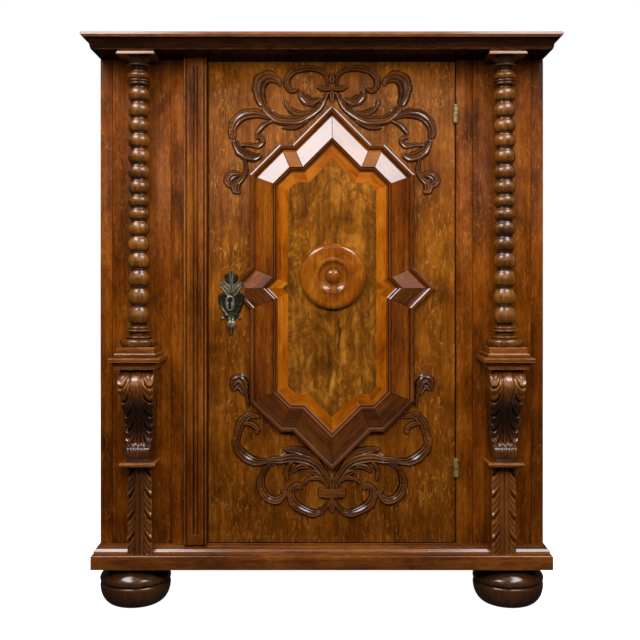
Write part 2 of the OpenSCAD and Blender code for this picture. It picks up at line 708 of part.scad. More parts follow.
module fluted_strip() color(wood_light) {
    x0 = open_l - strip_w;
    mid = open_l - strip_w / 2;
    bead = 4.5;
    quirk = 1.5;
    low = strip_t - 4;
    reed_r = 3.2;
    half_section = [[0, 0], [0, low], [0.6, strip_t - 1.4], [2, strip_t], [bead - 1.5, strip_t],
        [bead, strip_t - 1.5], [bead, low], [bead + quirk, low], [bead + quirk, strip_t - 2],
        [bead + quirk + 1.5, strip_t - 0.5]];
    n = len(half_section);
    difference() {
        along_z(concat([for (q = half_section) [x0 + q[0], q[1]]],
                       [for (i = [n - 1:-1:0]) [open_l - half_section[i][0], half_section[i][1]]]),
                floor_z, soffit_z);
        block(mid - strip_channel_w / 2, mid + strip_channel_w / 2, low - 2, strip_t + 1,
              floor_z + strip_stop, soffit_z - strip_stop);
    }
    translate([mid, front_y - low + 2, floor_z + strip_stop])
        cylinder(h = soffit_z - floor_z - 2 * strip_stop, r = reed_r);
}

// Hinges
hinge_places = [door_z0 + hinge_low_in, door_z1 - hinge_top_in];
knuckle_h = (hinge_h - 2 * knuckle_gap) / 3;

// Screws of one leaf: side is 1 in the cabinet and -1 in the door; grow adds clearance
module leaf_screws(z, side, grow = 0) {
    face = side > 0 ? open_r : door_r;
    for (i = [-1, 1])
        translate([face, front_y + leaf_l / 2 + 2 * i, z + i * screw_pitch]) rotate([0, 90 * side, 0])
            rotate_extrude($fn = 32) polygon([[0, 0], [screw_head_d / 2 + grow, 0],
                [screw_d / 2 + grow, leaf_t], [screw_d / 2 + grow, screw_l - 3 + grow],
                [0, screw_l + 2 * grow]]);
}

module leaf(z, side) {
    x0 = side > 0 ? open_r : door_r - leaf_t;
    difference() {
        union() {
            block(x0, x0 + leaf_t, -leaf_l, 0, z - hinge_h / 2, z + hinge_h / 2);
            for (k = side > 0 ? [0, 2] : [1]) {
                zk = z - hinge_h / 2 + k * (knuckle_h + knuckle_gap);
                translate([axis_x, front_y - axis_p, zk]) cylinder(h = knuckle_h, d = knuckle_d);
                block(x0, x0 + leaf_t, -1, axis_p - pin_d / 2 - 0.5, zk, zk + knuckle_h);
            }
        }
        translate([axis_x, front_y - axis_p, z - hinge_h])
            cylinder(h = 2 * hinge_h, d = pin_d + 2 * pin_gap);
        leaf_screws(z, side, pin_gap);
    }
}

module hinge_frame_leaves() color("#8a7a45") for (z = hinge_places) leaf(z, 1);
module hinge_door_leaves() color("#8a7a45") for (z = hinge_places) leaf(z, -1);
module hinge_screws_frame() color("#9a8a55") for (z = hinge_places) leaf_screws(z, 1);
module hinge_screws_door() color("#9a8a55") for (z = hinge_places) leaf_screws(z, -1);

cap_h = 2.5;
module hinge_pins() color("#8a7a45") {
    cap_r = knuckle_d / 2 - 1;
    plain = [[0, 0], [cap_r, 0], [cap_r, cap_h - 0.8], [cap_r - 0.8, cap_h], [0, cap_h]];
    for (z = hinge_places) for (end = [-1, 1])
        translate([axis_x, front_y - axis_p, z + end * hinge_h / 2])
            rotate([end > 0 ? 0 : 180, 0, 0]) rotate_extrude() polygon(plain);
    for (z = hinge_places)
        translate([axis_x, front_y - axis_p, z - hinge_h / 2]) cylinder(h = hinge_h, d = pin_d);
}

// Keyhole outline, made larger by grow
module keyhole(p0, p1, grow = 0) {
    on_front(key_x, key_z, p0) cylinder(h = p1 - p0, d = key_d + 2 * grow);
    block(key_x - key_slot_w / 2 - grow, key_x + key_slot_w / 2 + grow, p0, p1,
          key_z - key_d / 2 - key_slot_l - grow, key_z);
}

module door_board() color(wood_mid) difference() {
    block(door_l, door_r, -door_t, 0, door_z0, door_z1);
    for (z = hinge_places) {
        block(door_r - leaf_t, door_r + 1, -leaf_l, 1, z - hinge_h / 2, z + hinge_h / 2);
        leaf_screws(z, -1, pin_gap);
    }
    keyhole(-door_t - 1, 1);
}

batten_side = 20;
module door_battens() color(wood_dark) for (z = [door_z0 + batten_in, door_z1 - batten_in - batten_w])
    block(door_l + batten_side, door_r - batten_side, -door_t - batten_t, -door_t, z, z + batten_w);

// Outline of the bevels, anticlockwise from the right ear
panel_quarter = [[ear_reach, 0], [panel_half_w, ear_out],
    [panel_half_w, panel_shoulder - slope_w],
    [peak_rise + shoulder_flat, panel_shoulder], [peak_rise, panel_shoulder], [0, panel_peak]];
panel_outline = concat(panel_quarter,
    [for (i = [4:-1:0]) [-panel_quarter[i][0], panel_quarter[i][1]]],
    [for (i = [1:5]) -panel_quarter[i]],
    [for (i = [4:-1:1]) [panel_quarter[i][0], -panel_quarter[i][1]]]);

module panel_ring(profile) on_front(panel_x, panel_z) mitred_ring(panel_outline, profile);

module panel_rim() color(wood_mid) difference() {
    panel_ring([[-rim_w, 0], [0, 0], [0, rim_h - 2], [-1.5, rim_h], [-rim_w + 4, rim_h],
                [-rim_w + 1.5, rim_h - 2.5], [-rim_w, rim_h - 6]]);
    plate_seat();
}
module panel_bevels() color(wood_light) difference() {
    panel_ring([[0, 0], [bevel_w, 0], [bevel_w, bevel_high], [0, bevel_low]]);
    plate_seat();
}
module panel_step() color(wood_dark)
    panel_ring([[bevel_w, 0], [bevel_w + step_w, 0], [bevel_w + step_w, field_t + 2],
                [bevel_w + step_w - 2, field_t + 4], [bevel_w + step_w - 4, field_t + 4],
                [bevel_w + 3, bevel_high - 2], [bevel_w + 1.5, bevel_high], [bevel_w, bevel_high]]);
module panel_crossband() color("#b06a20")
    panel_ring([[bevel_w + step_w, 0], [bevel_w + step_w + band_w, 0],
                [bevel_w + step_w + band_w, field_t], [bevel_w + step_w, field_t]]);
module panel_field() color("#73501e") on_front(panel_x, panel_z)
    linear_extrude(field_t) polygon(inset(panel_outline, bevel_w + step_w + band_w));

// Turned roundel: a ball in a cove, a rim, a groove and a broad rounded ring
module roundel() color("#c87a1c") {
    r = roundel_d / 2;
    t = roundel_t;
    on_front(panel_x + 2, panel_z + roundel_up, field_t) rotate_extrude() polygon(concat(
        [[0, 0], [r - 1, 0]], arc(r - 9, 0.42 * t, 9, 0.38 * t, -30, 80, 8),
        [[0.72 * r, 0.86 * t], [0.65 * r, 0.8 * t], [0.61 * r, 0.66 * t], [0.58 * r, 0.8 * t]],
        arc(0.5 * r, 0.82 * t, 0.07 * r, 0.12 * t, 60, 170, 5),
        arc(0.32 * r, 0.72 * t, 0.09 * r, 0.3 * t, 0, -180, 6),
        arc(0, 0.5 * t, 0.21 * r, 0.5 * t, 25, 90, 6)));
}

// Scroll carving: each stroke is [start, middle and end width, line], right half only.
// Points are [distance from the middle, height over the knot].
top_strokes = [
    [5, 11, 5, [[9, 5], [14, 29], [33, 41], [56, 43], [81, 37], [94, 24], [97, 9], [88, -5], [77, -3], [75, 3]]],
    [8, 15, 13, [[10, -9], [26, -39], [45, -54], [68, -66], [90, -69], [115, -66], [132, -56], [147, -39]]],
    [13, 22, 3, [[147, -39], [155, -18], [156, 1], [151, 16], [136, 24], [119, 18], [110, 4]]],
    [4, 16, 9, [[118, -68], [147, -58], [166, -54], [189, -58], [206, -71], [214, -90], [210, -109]]],
    [9, 16, 5, [[210, -109], [201, -130], [184, -143], [163, -147], [152, -140]]],
    [5, 9, 6, [[200, -122], [176, -121], [159, -124], [149, -115], [153, -105], [164, -105]]],
    [4, 8, 10, [[190, -144], [184, -172], [189, -189], [204, -206]]],
    [3, 22, 3, [[222, -192], [212, -206], [198, -222]]],
    [4, 10, 2, [[45, -50], [68, -54], [90, -45], [102, -24]]],
    [4, 16, 2, [[24, -22], [45, -28], [62, -18], [67, -3]]],
    [5, 10, 3, [[49, -66], [77, -82], [108, -84]]],
    [3, 9, 3, [[125, -69], [144, -77], [157, -90], [164, -101]]],
    [10, 10, 10, [[0, 0], [18, 0], [35, 0]]],
    [6, 12, 2, [[0, 10], [0, 20], [0, 36]]],
    [8, 10, 4, [[0, -8], [0, -18], [0, -30]]]
];
bottom_strokes = [
    [5, 14, 6, [[4, -12], [15, -30], [34, -42], [56, -37], [78, -24], [88, -6], [86, 9], [74, 17], [66, 11]]],
    [5, 8, 3, [[8, 13], [19, 28], [34, 34], [52, 30], [61, 20]]],
    [3, 12, 2, [[24, 34], [34, 44], [48, 49]]],
    [10, 17, 8, [[4, 15], [17, 41], [34, 61], [56, 72], [86, 76], [112, 72], [136, 71]]],
    [4, 14, 2, [[19, 52], [41, 80], [74, 92], [104, 96]]],
    [5, 16, 6, [[128, 71], [160, 68], [184, 78], [202, 98], [210, 122]]],
    [8, 13, 3, [[204, 104], [202, 128], [193, 154], [175, 168], [154, 164]]],
    [3, 9, 8, [[192, 150], [177, 150], [162, 142], [160, 130]]],
    [6, 13, 6, [[116, 71], [142, 54], [152, 30], [150, 8], [136, -10], [117, -14], [104, -2], [108, 9]]],
    [4, 9, 3, [[86, 69], [98, 50], [95, 28]]],
    [3, 11, 3, [[86, 46], [69, 58], [50, 58]]],
    [4, 20, 3, [[214, 224], [198, 240], [184, 214]]],
    [8, 5, 3, [[186, 222], [181, 204], [180, 187]]],
    [11, 11, 10, [[0, 0], [16, 0], [33, 1]]],
    [8, 13, 3, [[0, -8], [0, -22], [0, -40]]],
    [7, 10, 4, [[0, 10], [0, 22], [0, 34]]]
];

// Coordinates of all the strokes' points: k is 0 for their distances, 1 for their heights
function drawn(strokes, k) = [for (s = strokes) for (q = s[3]) q[k]];

module carving(strokes, z, reach) color("#6b4a2c") on_front(panel_x, z) linear_extrude(carving_t)
    closed_up() scale([reach / max(drawn(strokes, 0)), 1])
        for (side = [-1, 1]) scale([side, 1]) for (s = strokes) stroke(s);
module carving_top() carving(top_strokes, door_z1 - carving_top_in, ear_reach + carving_top_out);
module carving_bottom() carving(bottom_strokes, door_z0 + carving_low_in, ear_reach + carving_low_out);

// Pierced key plate of cast leaves, right half: [distance from its axis, height over the keyhole]
plate_strokes = [
    [3, 10, 2, [[0, 42], [0, 54], [0, 65]]],
    [8, 7, 9, [[0, 44], [0, 30], [0, 12]]],
    [4, 6, 5, [[1, 36], [8, 43], [11, 51], [7, 55]]],
    [6, 8, 2, [[2, 18], [8, 29], [16, 36], [25, 36]]],
    [5, 8, 3, [[5, 9], [12, 20], [18, 28], [25, 30]]],
    [5, 5, 5, [[8, 9], [15, 13], [23, 10], [25, 1], [22, -8], [16, -11]]],
    [5, 6, 5, [[23, -7], [18, -19], [12, -28], [6, -33]]],
    [4, 5, 5, [[5, -29], [12, -32], [17, -37]]],
    [15, 17, 13, [[0, -8], [0, -26], [0, -42]]],
    [9, 5, 1, [[0, -56], [0, -66], [0, -75]]]
];
plate_axis = 3;
plate_scale = plate_h / (max(drawn(plate_strokes, 1)) - min(drawn(plate_strokes, 1)));
module key_plate() color("#8b8668") difference() {
    on_front(key_x + plate_axis, key_z) linear_extrude(plate_t) closed_up() {
        scale(plate_scale) {
            for (side = [-1, 1]) scale([side, 1]) for (s = plate_strokes) stroke(s);
            for (side = [-1, 1]) translate([18 * side, -38]) circle(r = 3.5, $fn = 24);
            translate([0, -51]) circle(r = 9.5, $fn = 32);
        }
        translate([-plate_axis, -6]) scale([1, 1.6]) circle(d = key_d + 9, $fn = 32);
    }
    keyhole(-1, plate_t + 1);
}

// Room for the key plate, cut from the tip of the panel's left ear
module plate_seat() on_front(key_x + plate_axis, key_z + 14 * plate_scale, -1)
    linear_extrude(bevel_high + 2) scale([1, 1.6]) circle(r = 30 * plate_scale, $fn = 48);

// Lock: a case on the door's back, its bolt, and the keep behind the front board
lock_x0 = door_l + 3;
bolt_z = key_z + key_d / 2 + 4;
lock_z0 = key_z - 0.45 * lock_h;
bolt_p = -door_t - lock_t / 2;
bolt_l = lock_w - 14;
module bolt_space(x0, x1, gap)
    block(x0, x1, bolt_p - bolt_t / 2 - gap, bolt_p + bolt_t / 2 + gap, bolt_z - gap, bolt_z + bolt_h + gap);

module lock_case() color("#4a4642") difference() {
    block(lock_x0, lock_x0 + lock_w, -door_t - lock_t, -door_t, lock_z0, lock_z0 + lock_h);
    bolt_space(lock_x0 - 1, lock_x0 + bolt_l + bolt_gap, bolt_gap);
    keyhole(-door_t - lock_t + 3, -door_t + 1);
}
module lock_bolt() color("#8f8d88") bolt_space(lock_x0, lock_x0 + bolt_l, 0);

keep_x0 = open_l - bolt_travel - 8;
keep_x1 = open_l - 2;
module lock_keep() color("#4a4642") difference() {
    block(keep_x0, keep_x1, bolt_p - bolt_t / 2 - 2 * bolt_gap - keep_wall, -board_t,
          bolt_z - 2 * bolt_gap - 2 * keep_wall, bolt_z + bolt_h + 2 * bolt_gap + 2 * keep_wall);
    bolt_space(keep_x0 + keep_wall, keep_x1 + 1, 2 * bolt_gap);
}

base_board();
base_moulding_front();
base_moulding_left();
base_moulding_right();
foot_front_left();
foot_front_right();
foot_rear_left();
foot_rear_right();
side_left();
side_right();
front_board_left_outer();
front_board_left_inner();
front_board_right_inner();
front_board_right_outer();
sill();
head_rail();
floor_board();
back_board_left();
back_board_middle();
back_board_right();
shelf_lower();
shelf_upper();
shelf_cleats();
cornice_front();
cornice_left();
cornice_right();
cornice_back();
top_board();
column_left();
column_right();
capital_left();
capital_right();
pedestal_left();
pedestal_right();
console_left();
console_right();
ledge_left();
ledge_right();
pilaster_left();
pilaster_right();
fluted_strip();
lock_keep();
hinge_frame_leaves();
hinge_pins();
hinge_screws_frame();
hinge_door_leaves();
hinge_screws_door();
door_board();
door_battens();
panel_rim();
panel_bevels();
panel_step();
panel_crossband();
panel_field();
roundel();
carving_top();
carving_bottom();
key_plate();
lock_case();
lock_bolt();
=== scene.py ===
"""Single-door oak cabinet with bobbin-turned columns and a mitred raised panel: its looks."""
import random
from math import atan2, copysign, cos, degrees, exp, hypot, pi, radians, sin, sqrt, tau

import bmesh
import bpy
from bmesh import ops
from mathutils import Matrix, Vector


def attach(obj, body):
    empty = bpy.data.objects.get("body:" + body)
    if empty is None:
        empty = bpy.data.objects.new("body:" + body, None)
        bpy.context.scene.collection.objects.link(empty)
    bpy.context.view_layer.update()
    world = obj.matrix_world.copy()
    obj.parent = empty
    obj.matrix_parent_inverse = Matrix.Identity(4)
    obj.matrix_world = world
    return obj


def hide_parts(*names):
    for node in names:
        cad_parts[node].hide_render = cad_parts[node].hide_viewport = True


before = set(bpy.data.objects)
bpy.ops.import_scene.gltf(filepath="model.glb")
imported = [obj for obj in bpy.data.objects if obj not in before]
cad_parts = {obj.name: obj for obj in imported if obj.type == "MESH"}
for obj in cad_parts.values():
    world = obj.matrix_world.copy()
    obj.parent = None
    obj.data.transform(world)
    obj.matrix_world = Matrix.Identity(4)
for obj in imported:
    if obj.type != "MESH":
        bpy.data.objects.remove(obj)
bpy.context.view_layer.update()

MM = 0.001  # lengths in this file are in mm, Blender's in metres
FRONT_Y = -171.0  # the front boards' faces
TOTAL_H = 1200


def at(x, p, z):
    """Place in metres of a point x across, p in front of the front boards and z up, in mm."""
    return Vector((x, FRONT_Y - p, z)) * MM


def added(name, data):
    """A new object in the scene."""
    made = bpy.data.objects.new(name, data)
    bpy.context.collection.objects.link(made)
    return made


# ---- camera and light
# Eye point, lens and shift come from the perspective and the framing of the photograph
EYE_P, EYE_Z = 1950, 683.5
camera = added("camera", bpy.data.cameras.new("camera"))
camera.location = at(0, EYE_P, EYE_Z)
camera.rotation_euler = (radians(90), 0, 0)
camera.data.sensor_width = 36
camera.data.lens = 51.1
camera.data.shift_x = -0.0028
camera.data.shift_y = -0.0547
bpy.context.scene.camera = camera
bpy.context.scene.view_settings.view_transform = "Standard"


def softbox(name, place, target, width, height, radiance, glossy=True):
    """Rectangular studio light, as bright as radiance says wherever it stands."""
    light = bpy.data.lights.new(name, "AREA")
    light.shape = "RECTANGLE"
    light.size, light.size_y = width, height
    light.energy = radiance * pi * width * height
    made = added(name, light)
    made.location = place
    made.rotation_euler = (Vector(target) - Vector(place)).to_track_quat("-Z", "Y").to_euler()
    made.visible_glossy = glossy
    made.visible_camera = False


MIDDLE = (0, -0.19, 0.68)
# Place, target, width and height in metres
softbox("softbox_left", (-1.05, -1.16, 2.32), MIDDLE, 1.2, 0.62, 7.6)
softbox("softbox_right", (1.05, -1.16, 2.32), MIDDLE, 1.2, 0.62, 6.6)
softbox("softbox_far_left", (-1.75, -1.36, 1.75), MIDDLE, 0.8, 0.6, 0.5)
softbox("softbox_far_right", (1.75, -1.36, 1.75), MIDDLE, 0.8, 0.6, 0.6)
softbox("softbox_top", (0, -1.16, 2.5), MIDDLE, 0.9, 0.5, 0.6)
softbox("veil", (0, -1.95, 1.7), (0, -0.19, 1.2), 2.4, 0.7, 0.34)
for name, x in (("softbox_rear_left", -2.6), ("softbox_rear_right", 2.6)):
    softbox(name, (x, 2.2, 1.5), (0, 0.1, 0.68), 1.4, 1.2, 2.6, glossy=False)
softbox("fill", (0, -1.55, 1.35), (0, -0.19, 1.1), 2.2, 0.6, 8.6, glossy=False)


def linear(colour):
    """sRGB hex colour as linear RGBA."""
    parts = [int(colour[i:i + 2], 16) / 255 for i in (1, 3, 5)]
    return tuple(c / 12.92 if c <= 0.04045 else ((c + 0.055) / 1.055) ** 2.4
                 for c in parts) + (1.0,)


def feed(mat, made, inputs):
    """Gives inputs of a node their values, or the sockets that feed them."""
    for name, value in inputs.items():
        if isinstance(value, bpy.types.NodeSocket):
            mat.node_tree.links.new(value, made.inputs[name])
        else:
            made.inputs[name].default_value = value


def node(mat, kind, inputs, out=0, stops=(), **settings):
    """Adds a node and returns an output; stops are the (place, colour) of a colour ramp."""
    made = mat.node_tree.nodes.new("ShaderNode" + kind)
    for name, value in settings.items():
        setattr(made, name, value)
    feed(mat, made, inputs)
    for i, (place, colour) in enumerate(stops):
        ramp = made.color_ramp.elements
        stop = ramp[i] if i < 2 else ramp.new(place)
        stop.position, stop.color = place, linear(colour)
    return made.outputs[out] if made.outputs else None


def new_material(name):
    """A material and its shader."""
    mat = bpy.data.materials.new(name)
    mat.use_nodes = True
    return mat, mat.node_tree.nodes["Principled BSDF"]


# The camera sees a white studio, which hardly lights the cabinet
world = bpy.data.worlds.new("studio")
bpy.context.scene.world = world
world.use_nodes = True
world.node_tree.nodes.clear()
seen = node(world, "LightPath", {}, "Is Camera Ray")
dim, white = (node(world, "Background", {"Color": (1, 1, 1, 1), "Strength": strength})
              for strength in (0.03, 1.0))
both = node(world, "MixShader", {0: seen, 1: dim, 2: white})
node(world, "OutputWorld", {"Surface": both})

# ---- finishes
SOOT_AND_SHADE, GRIME = "#120804", "#1c170f"  # dirt and painted shade in wood, dirt on metal
CORNICE_SHADE_Z = (1.085, 1.165)  # heights in metres over which painted shade darkens the wood towards the cornice


def wood(name, dark, mid, light, line_mm=3.2, pores=0.35, flecks=0.0, fleck=None, figure=0.0,
         rough=0.5, coat=1.0, coat_rough=0.25, coat_ior=1.5, cloud_mm=90, contrast=1.0,
         relief=0.25, stained=0.0, worn=None, mottle=(6, 24), cornice_shade=0.0):
    """Wood with annual lines, pores, tone clouds, wavy ray flecks and, in veneers, a burl figure.

    It follows the attribute grain: across, through and along the fibres, in metres.
    """
    mat, shader = new_material(name)
    wear_and_shade = node(mat, "Attribute", {}, "Fac", attribute_name="wear_and_shade")
    grain = node(mat, "Attribute", {}, "Vector", attribute_name="grain")

    def noise(across_mm, along_mm, detail=2.0, grit=0.55, bend=0.0):
        place = node(mat, "Mapping", {"Vector": grain,
                     "Scale": (1000 / across_mm, 1000 / across_mm, 1000 / along_mm)})
        return node(mat, "TexNoise", {"Vector": place, "Scale": 1.0, "Detail": detail,
                    "Roughness": grit, "Distortion": bend})

    def near_line(wave, narrow, wide, strength):
        off = node(mat, "Math", {0: wave, 1: 0.5}, operation="SUBTRACT")
        near = node(mat, "Math", {0: off}, operation="ABSOLUTE")
        return node(mat, "MapRange", {0: near, 1: narrow, 2: wide, 3: strength, 4: 0.0})

    # Annual lines, as streaks a few millimetres wide and many times as long, and a finer wavy
    # texture, over clouds of tone
    lines = noise(line_mm * 2, line_mm * 70, 4, 0.62, 0.15)
    fine = noise(*mottle, 3, 0.65, 0.7)
    broad = noise(line_mm * 9, line_mm * 160, 2, 0.5, 0.4)
    clouds = noise(cloud_mm, cloud_mm * 2, 3, 0.55, 0.5)
    tone, shares = clouds, ((lines, 0.55), (broad, 0.4), (fine, 0.5))
    for part, share in shares:
        tone = node(mat, "Math", {0: part, 1: share, 2: tone}, operation="MULTIPLY_ADD")
    average, reach = (1 + sum(share for _, share in shares)) / 2, 0.4 / contrast
    even = node(mat, "MapRange", {0: tone, 1: average - reach, 2: average + reach})
    colour = node(mat, "ValToRGB", {0: even}, stops=[(0.0, dark), (1.0, light), (0.5, mid)])
    layers = []  # colours that lie over it, each with its share
    if figure:
        # Burl figure: dark veins along the iso-lines of a strongly bent noise
        layers.append((dark, near_line(noise(46, 92, 5, 0.6, 1.6), 0.0, 0.075, figure)))
    if stained:
        # Old stains: dark clouds, a hand wide
        layers.append((dark, node(mat, "MapRange", {0: noise(55, 75, 4, 0.6, 0.8), 1: 0.5,
                       2: 0.68, 3: 0.0, 4: stained})))
    if flecks:
        # Ray flecks of quarter-sawn oak: short wavy light lines along the fibres, in patches
        band = near_line(noise(10, 40, 2, 0.55, 0.9), 0.006, 0.03, flecks)
        for part, low, high in ((noise(8, 20, 1), 0.38, 0.54), (noise(60, 100, 2), 0.36, 0.56)):
            patch = node(mat, "MapRange", {0: part, 1: low, 2: high})
            band = node(mat, "Math", {0: band, 1: patch}, operation="MULTIPLY")
        layers.append((fleck, band))
    # Open pores, drawn about three times as coarse as real ones so that they show
    deep = node(mat, "MapRange", {0: noise(1.5, 22, 1), 1: 0.36, 2: 0.47, 3: pores, 4: 0.0})
    # Dirt and painted shade in the hollows, and rubbed edges, where a piece says so
    dirt_and_shade = node(mat, "MapRange", {0: wear_and_shade, 1: -0.8, 2: 0.0, 3: 0.92, 4: 0.0})
    rubbed = node(mat, "MapRange", {0: wear_and_shade, 1: 0.05, 2: 0.7, 3: 0.0, 4: 0.7})
    broken = node(mat, "MapRange", {0: noise(5, 16, 2), 1: 0.38, 2: 0.58, 3: 0.25, 4: 1.0})
    rubbed = node(mat, "Math", {0: rubbed, 1: broken}, operation="MULTIPLY")
    layers += [(dark, deep), (SOOT_AND_SHADE, dirt_and_shade), (worn or light, rubbed)]
    # Painted shade of the cornice: the wood darkens towards it over these heights
    if cornice_shade:
        high = node(mat, "SeparateXYZ", {0: node(mat, "TexCoord", {}, "Object")}, "Z")
        layers.append((SOOT_AND_SHADE, node(mat, "MapRange", {0: high, 1: CORNICE_SHADE_Z[0], 2: CORNICE_SHADE_Z[1],
                       3: 0.0, 4: cornice_shade}, interpolation_type="SMOOTHSTEP")))
    for marks_and_shade, share in layers:
        colour = node(mat, "Mix", {0: share, 6: colour, 7: linear(marks_and_shade)}, 2, data_type="RGBA")
    height = node(mat, "Math", {0: lines, 1: deep}, operation="SUBTRACT")
    gloss = node(mat, "MapRange", {0: clouds, 1: 0.3, 2: 0.7, 3: rough - 0.07, 4: rough + 0.07})
    bump = node(mat, "Bump", {"Height": height, "Strength": relief, "Distance": 0.0006})
    # Only the coat of wax or polish mirrors
    feed(mat, shader, {"Base Color": colour, "Normal": bump, "Roughness": gloss,
                       "Specular IOR Level": 0.0, "Coat Weight": coat,
                       "Coat Roughness": coat_rough, "Coat IOR": coat_ior})
    return mat


# Quarter-sawn oak, stained and wax-polished: warm brown with wavy light flecks and a soft sheen,
# and painted shade under the cornice
door_oak = wood("waxed_quartered_oak", "#351803", "#6e3909", "#955817", flecks=0.5, fleck="#b97c36",
                contrast=1.15, stained=0.5, worn="#b5793c", cornice_shade=0.25, coat=0.33)
# Plain-sawn oak of the case: darker, longer lines, few flecks, and strong painted shade under the
# cornice
case_oak = wood("waxed_oak", "#321603", "#6a3206", "#934f10", flecks=0.35, fleck="#a86c2a",
                line_mm=4, contrast=1.3, stained=0.45, worn="#a86a30", cornice_shade=0.7, coat=0.33)
# Mouldings, better polished than the boards: their edges carry bright lines
moulded_oak = wood("polished_moulding_oak", "#331807", "#6e380e", "#945418", line_mm=3,
                   coat_rough=0.17, coat_ior=1.8, worn="#ab7648", contrast=1.3)
# The cornice, polished and painted nearly black: painted shade of its hollows and overhang
cornice_oak = wood("cornice_oak_painted_shade", "#0d0401", "#1d0b03", "#351707", line_mm=3, coat=0.3,
                   coat_rough=0.2, coat_ior=1.6, worn="#7d4826")
# The crown's bead, painted paler than the rest of the cornice: a painted highlight where it mirrors
# the lights
bead_oak = wood("bead_oak_painted_highlight", "#3c1c0a", "#73421f", "#a06a42", line_mm=3, coat_rough=0.16,
                coat_ior=1.7)
# Turned oak, polished on the lathe: glossier, so each bobbin carries a small sharp light; painted
# shade darkens its top under the cornice
turned_oak = wood("turned_polished_oak", "#2a1304", "#613509", "#8f5a20", line_mm=2.6, rough=0.45,
                  coat_rough=0.24, coat_ior=1.85, pores=0.25, contrast=1.4, worn="#a8702e",
                  cornice_shade=0.5)
# The fluted strip: rubbed pale along its beads, with painted shade under the cornice
strip_oak = wood("rubbed_strip_oak", "#351803", "#6d3509", "#965616", line_mm=3, contrast=1.3,
                 worn="#bd8450", cornice_shade=0.3, coat=0.33)
# The raised panel's rim, sharply polished
rim_oak = wood("polished_rim_oak", "#2b1305", "#5a2c0b", "#7a4312", line_mm=3, coat_rough=0.1,
               coat_ior=1.8)
# Carved oak, darkened in its cuts by dirt and painted shade
carved_oak = wood("carved_waxed_oak", "#2a1406", "#5c3110", "#885120", line_mm=2.4, rough=0.45,
                  coat_rough=0.19, coat_ior=1.95, pores=0.3, worn="#b48355")
# Console and pilaster: the same carving in warmer wood
console_oak = wood("carved_console_oak", "#261003", "#5a2d09", "#925418", line_mm=2.4, rough=0.45,
                   coat_rough=0.18, coat_ior=1.9, pores=0.3, worn="#c98446")
# The feet: nearly black from polish and dirt
foot_oak = wood("foot_dark_polished_oak", "#1e0d04", "#472810", "#66401c", rough=0.45,
                coat_rough=0.17, coat_ior=1.8)
# Unpolished oak inside and behind: dry, paler and matt
inside_oak = wood("dry_oak", "#4a3018", "#6f4c2a", "#8d673c", rough=0.7, coat=0.0, pores=0.5)
# Walnut veneer on the bevels, French-polished: glares where it mirrors a light
VENEER = {"line_mm": 3, "coat_rough": 0.1, "pores": 0.4}
bevel_walnut = wood("polished_walnut_bevel", "#381603", "#6f3304", "#93520d", coat_ior=1.9,
                    contrast=1.4, **VENEER)
# The same veneer on the lower bevels, painted darker: painted shade of the facets that face down
low_walnut = wood("polished_walnut_bevel_painted_shade", "#2c1204", "#63300a", "#804814", coat_ior=1.9,
                  contrast=1.3, **VENEER)
# And on the two short level sides above, painted palest: painted light on the facets that face up
flat_walnut = wood("polished_walnut_bevel_painted_light", "#5c2c08", "#874c14", "#a06420", coat_ior=1.7,
                   **VENEER)
# Glue and old wax in the mitres
glue_line = wood("dark_glue_line", "#220e04", "#43200a", "#5a3012", coat=0.15)
# The step inside the bevels: the same walnut, waxed smooth
step_walnut = wood("waxed_walnut_step", "#381703", "#6b3304", "#8f4e08", line_mm=3, coat_rough=0.1,
                   coat_ior=1.9, pores=0.25, relief=0.1)
# Cherry crossbanding: honey orange, close grain
band_cherry = wood("polished_cherry", "#5a2603", "#8d4806", "#ab6414", line_mm=2.4, coat_rough=0.15,
                   pores=0.2, coat=0.2, contrast=1.3, cloud_mm=50)
# Walnut field with a dark feathered figure
field_walnut = wood("figured_walnut", "#3c2108", "#774410", "#a86a20", line_mm=4.5, figure=0.6,
                    coat=0.2, coat_rough=0.15, pores=0.25, contrast=1.5, stained=0.3, cloud_mm=55,
                    mottle=(10, 15), worn="#c8863a")
# Turned pear wood: fine, orange, glossy
pear = wood("polished_pear", "#522302", "#824104", "#a56614", line_mm=3.4, coat_rough=0.06,
            coat_ior=1.9, pores=0.15, contrast=1.3, relief=0.06, cloud_mm=40)


def metal(name, colour, worn, rough, grain_mm, bare=1.0):
    """Metal with a mottled patina and fine scratches; bare is the share that tarnish leaves."""
    mat, shader = new_material(name)
    wear_and_shade = node(mat, "Attribute", {}, "Fac", attribute_name="wear_and_shade")
    place = node(mat, "TexCoord", {}, "Object")
    spots = node(mat, "TexNoise", {"Vector": place, "Scale": 1000 / grain_mm, "Detail": 4.0,
                 "Roughness": 0.6})
    patina = node(mat, "ValToRGB", {0: spots}, stops=[(0.36, worn), (0.62, colour)])
    dirt_and_shade = node(mat, "MapRange", {0: wear_and_shade, 1: -0.6, 2: 0.0, 3: 0.9, 4: 0.0})
    dirtied_and_shaded = node(mat, "Mix", {0: dirt_and_shade, 6: patina, 7: linear(GRIME)}, 2, data_type="RGBA")
    gloss = node(mat, "MapRange", {0: spots, 1: 0.3, 2: 0.7, 3: rough + 0.15, 4: rough})
    bump = node(mat, "Bump", {"Height": spots, "Strength": 0.35, "Distance": 0.0004})
    feed(mat, shader, {"Base Color": dirtied_and_shaded, "Roughness": gloss, "Normal": bump, "Metallic": bare})
    return mat


# Cast brass, dull and greenish-grey with age; drawn brass of the hinges; iron and steel of the lock
plate_brass = metal("aged_cast_brass", "#c2b99f", "#7d755b", 0.3, 9, 0.8)
hinge_brass = metal("aged_brass", "#c4ad6c", "#5f4f28", 0.4, 7, 0.6)
lock_iron = metal("blackened_iron", "#5a5450", "#2c2826", 0.5, 12)
bolt_steel = metal("filed_steel", "#a3a19c", "#6b6862", 0.35, 8)

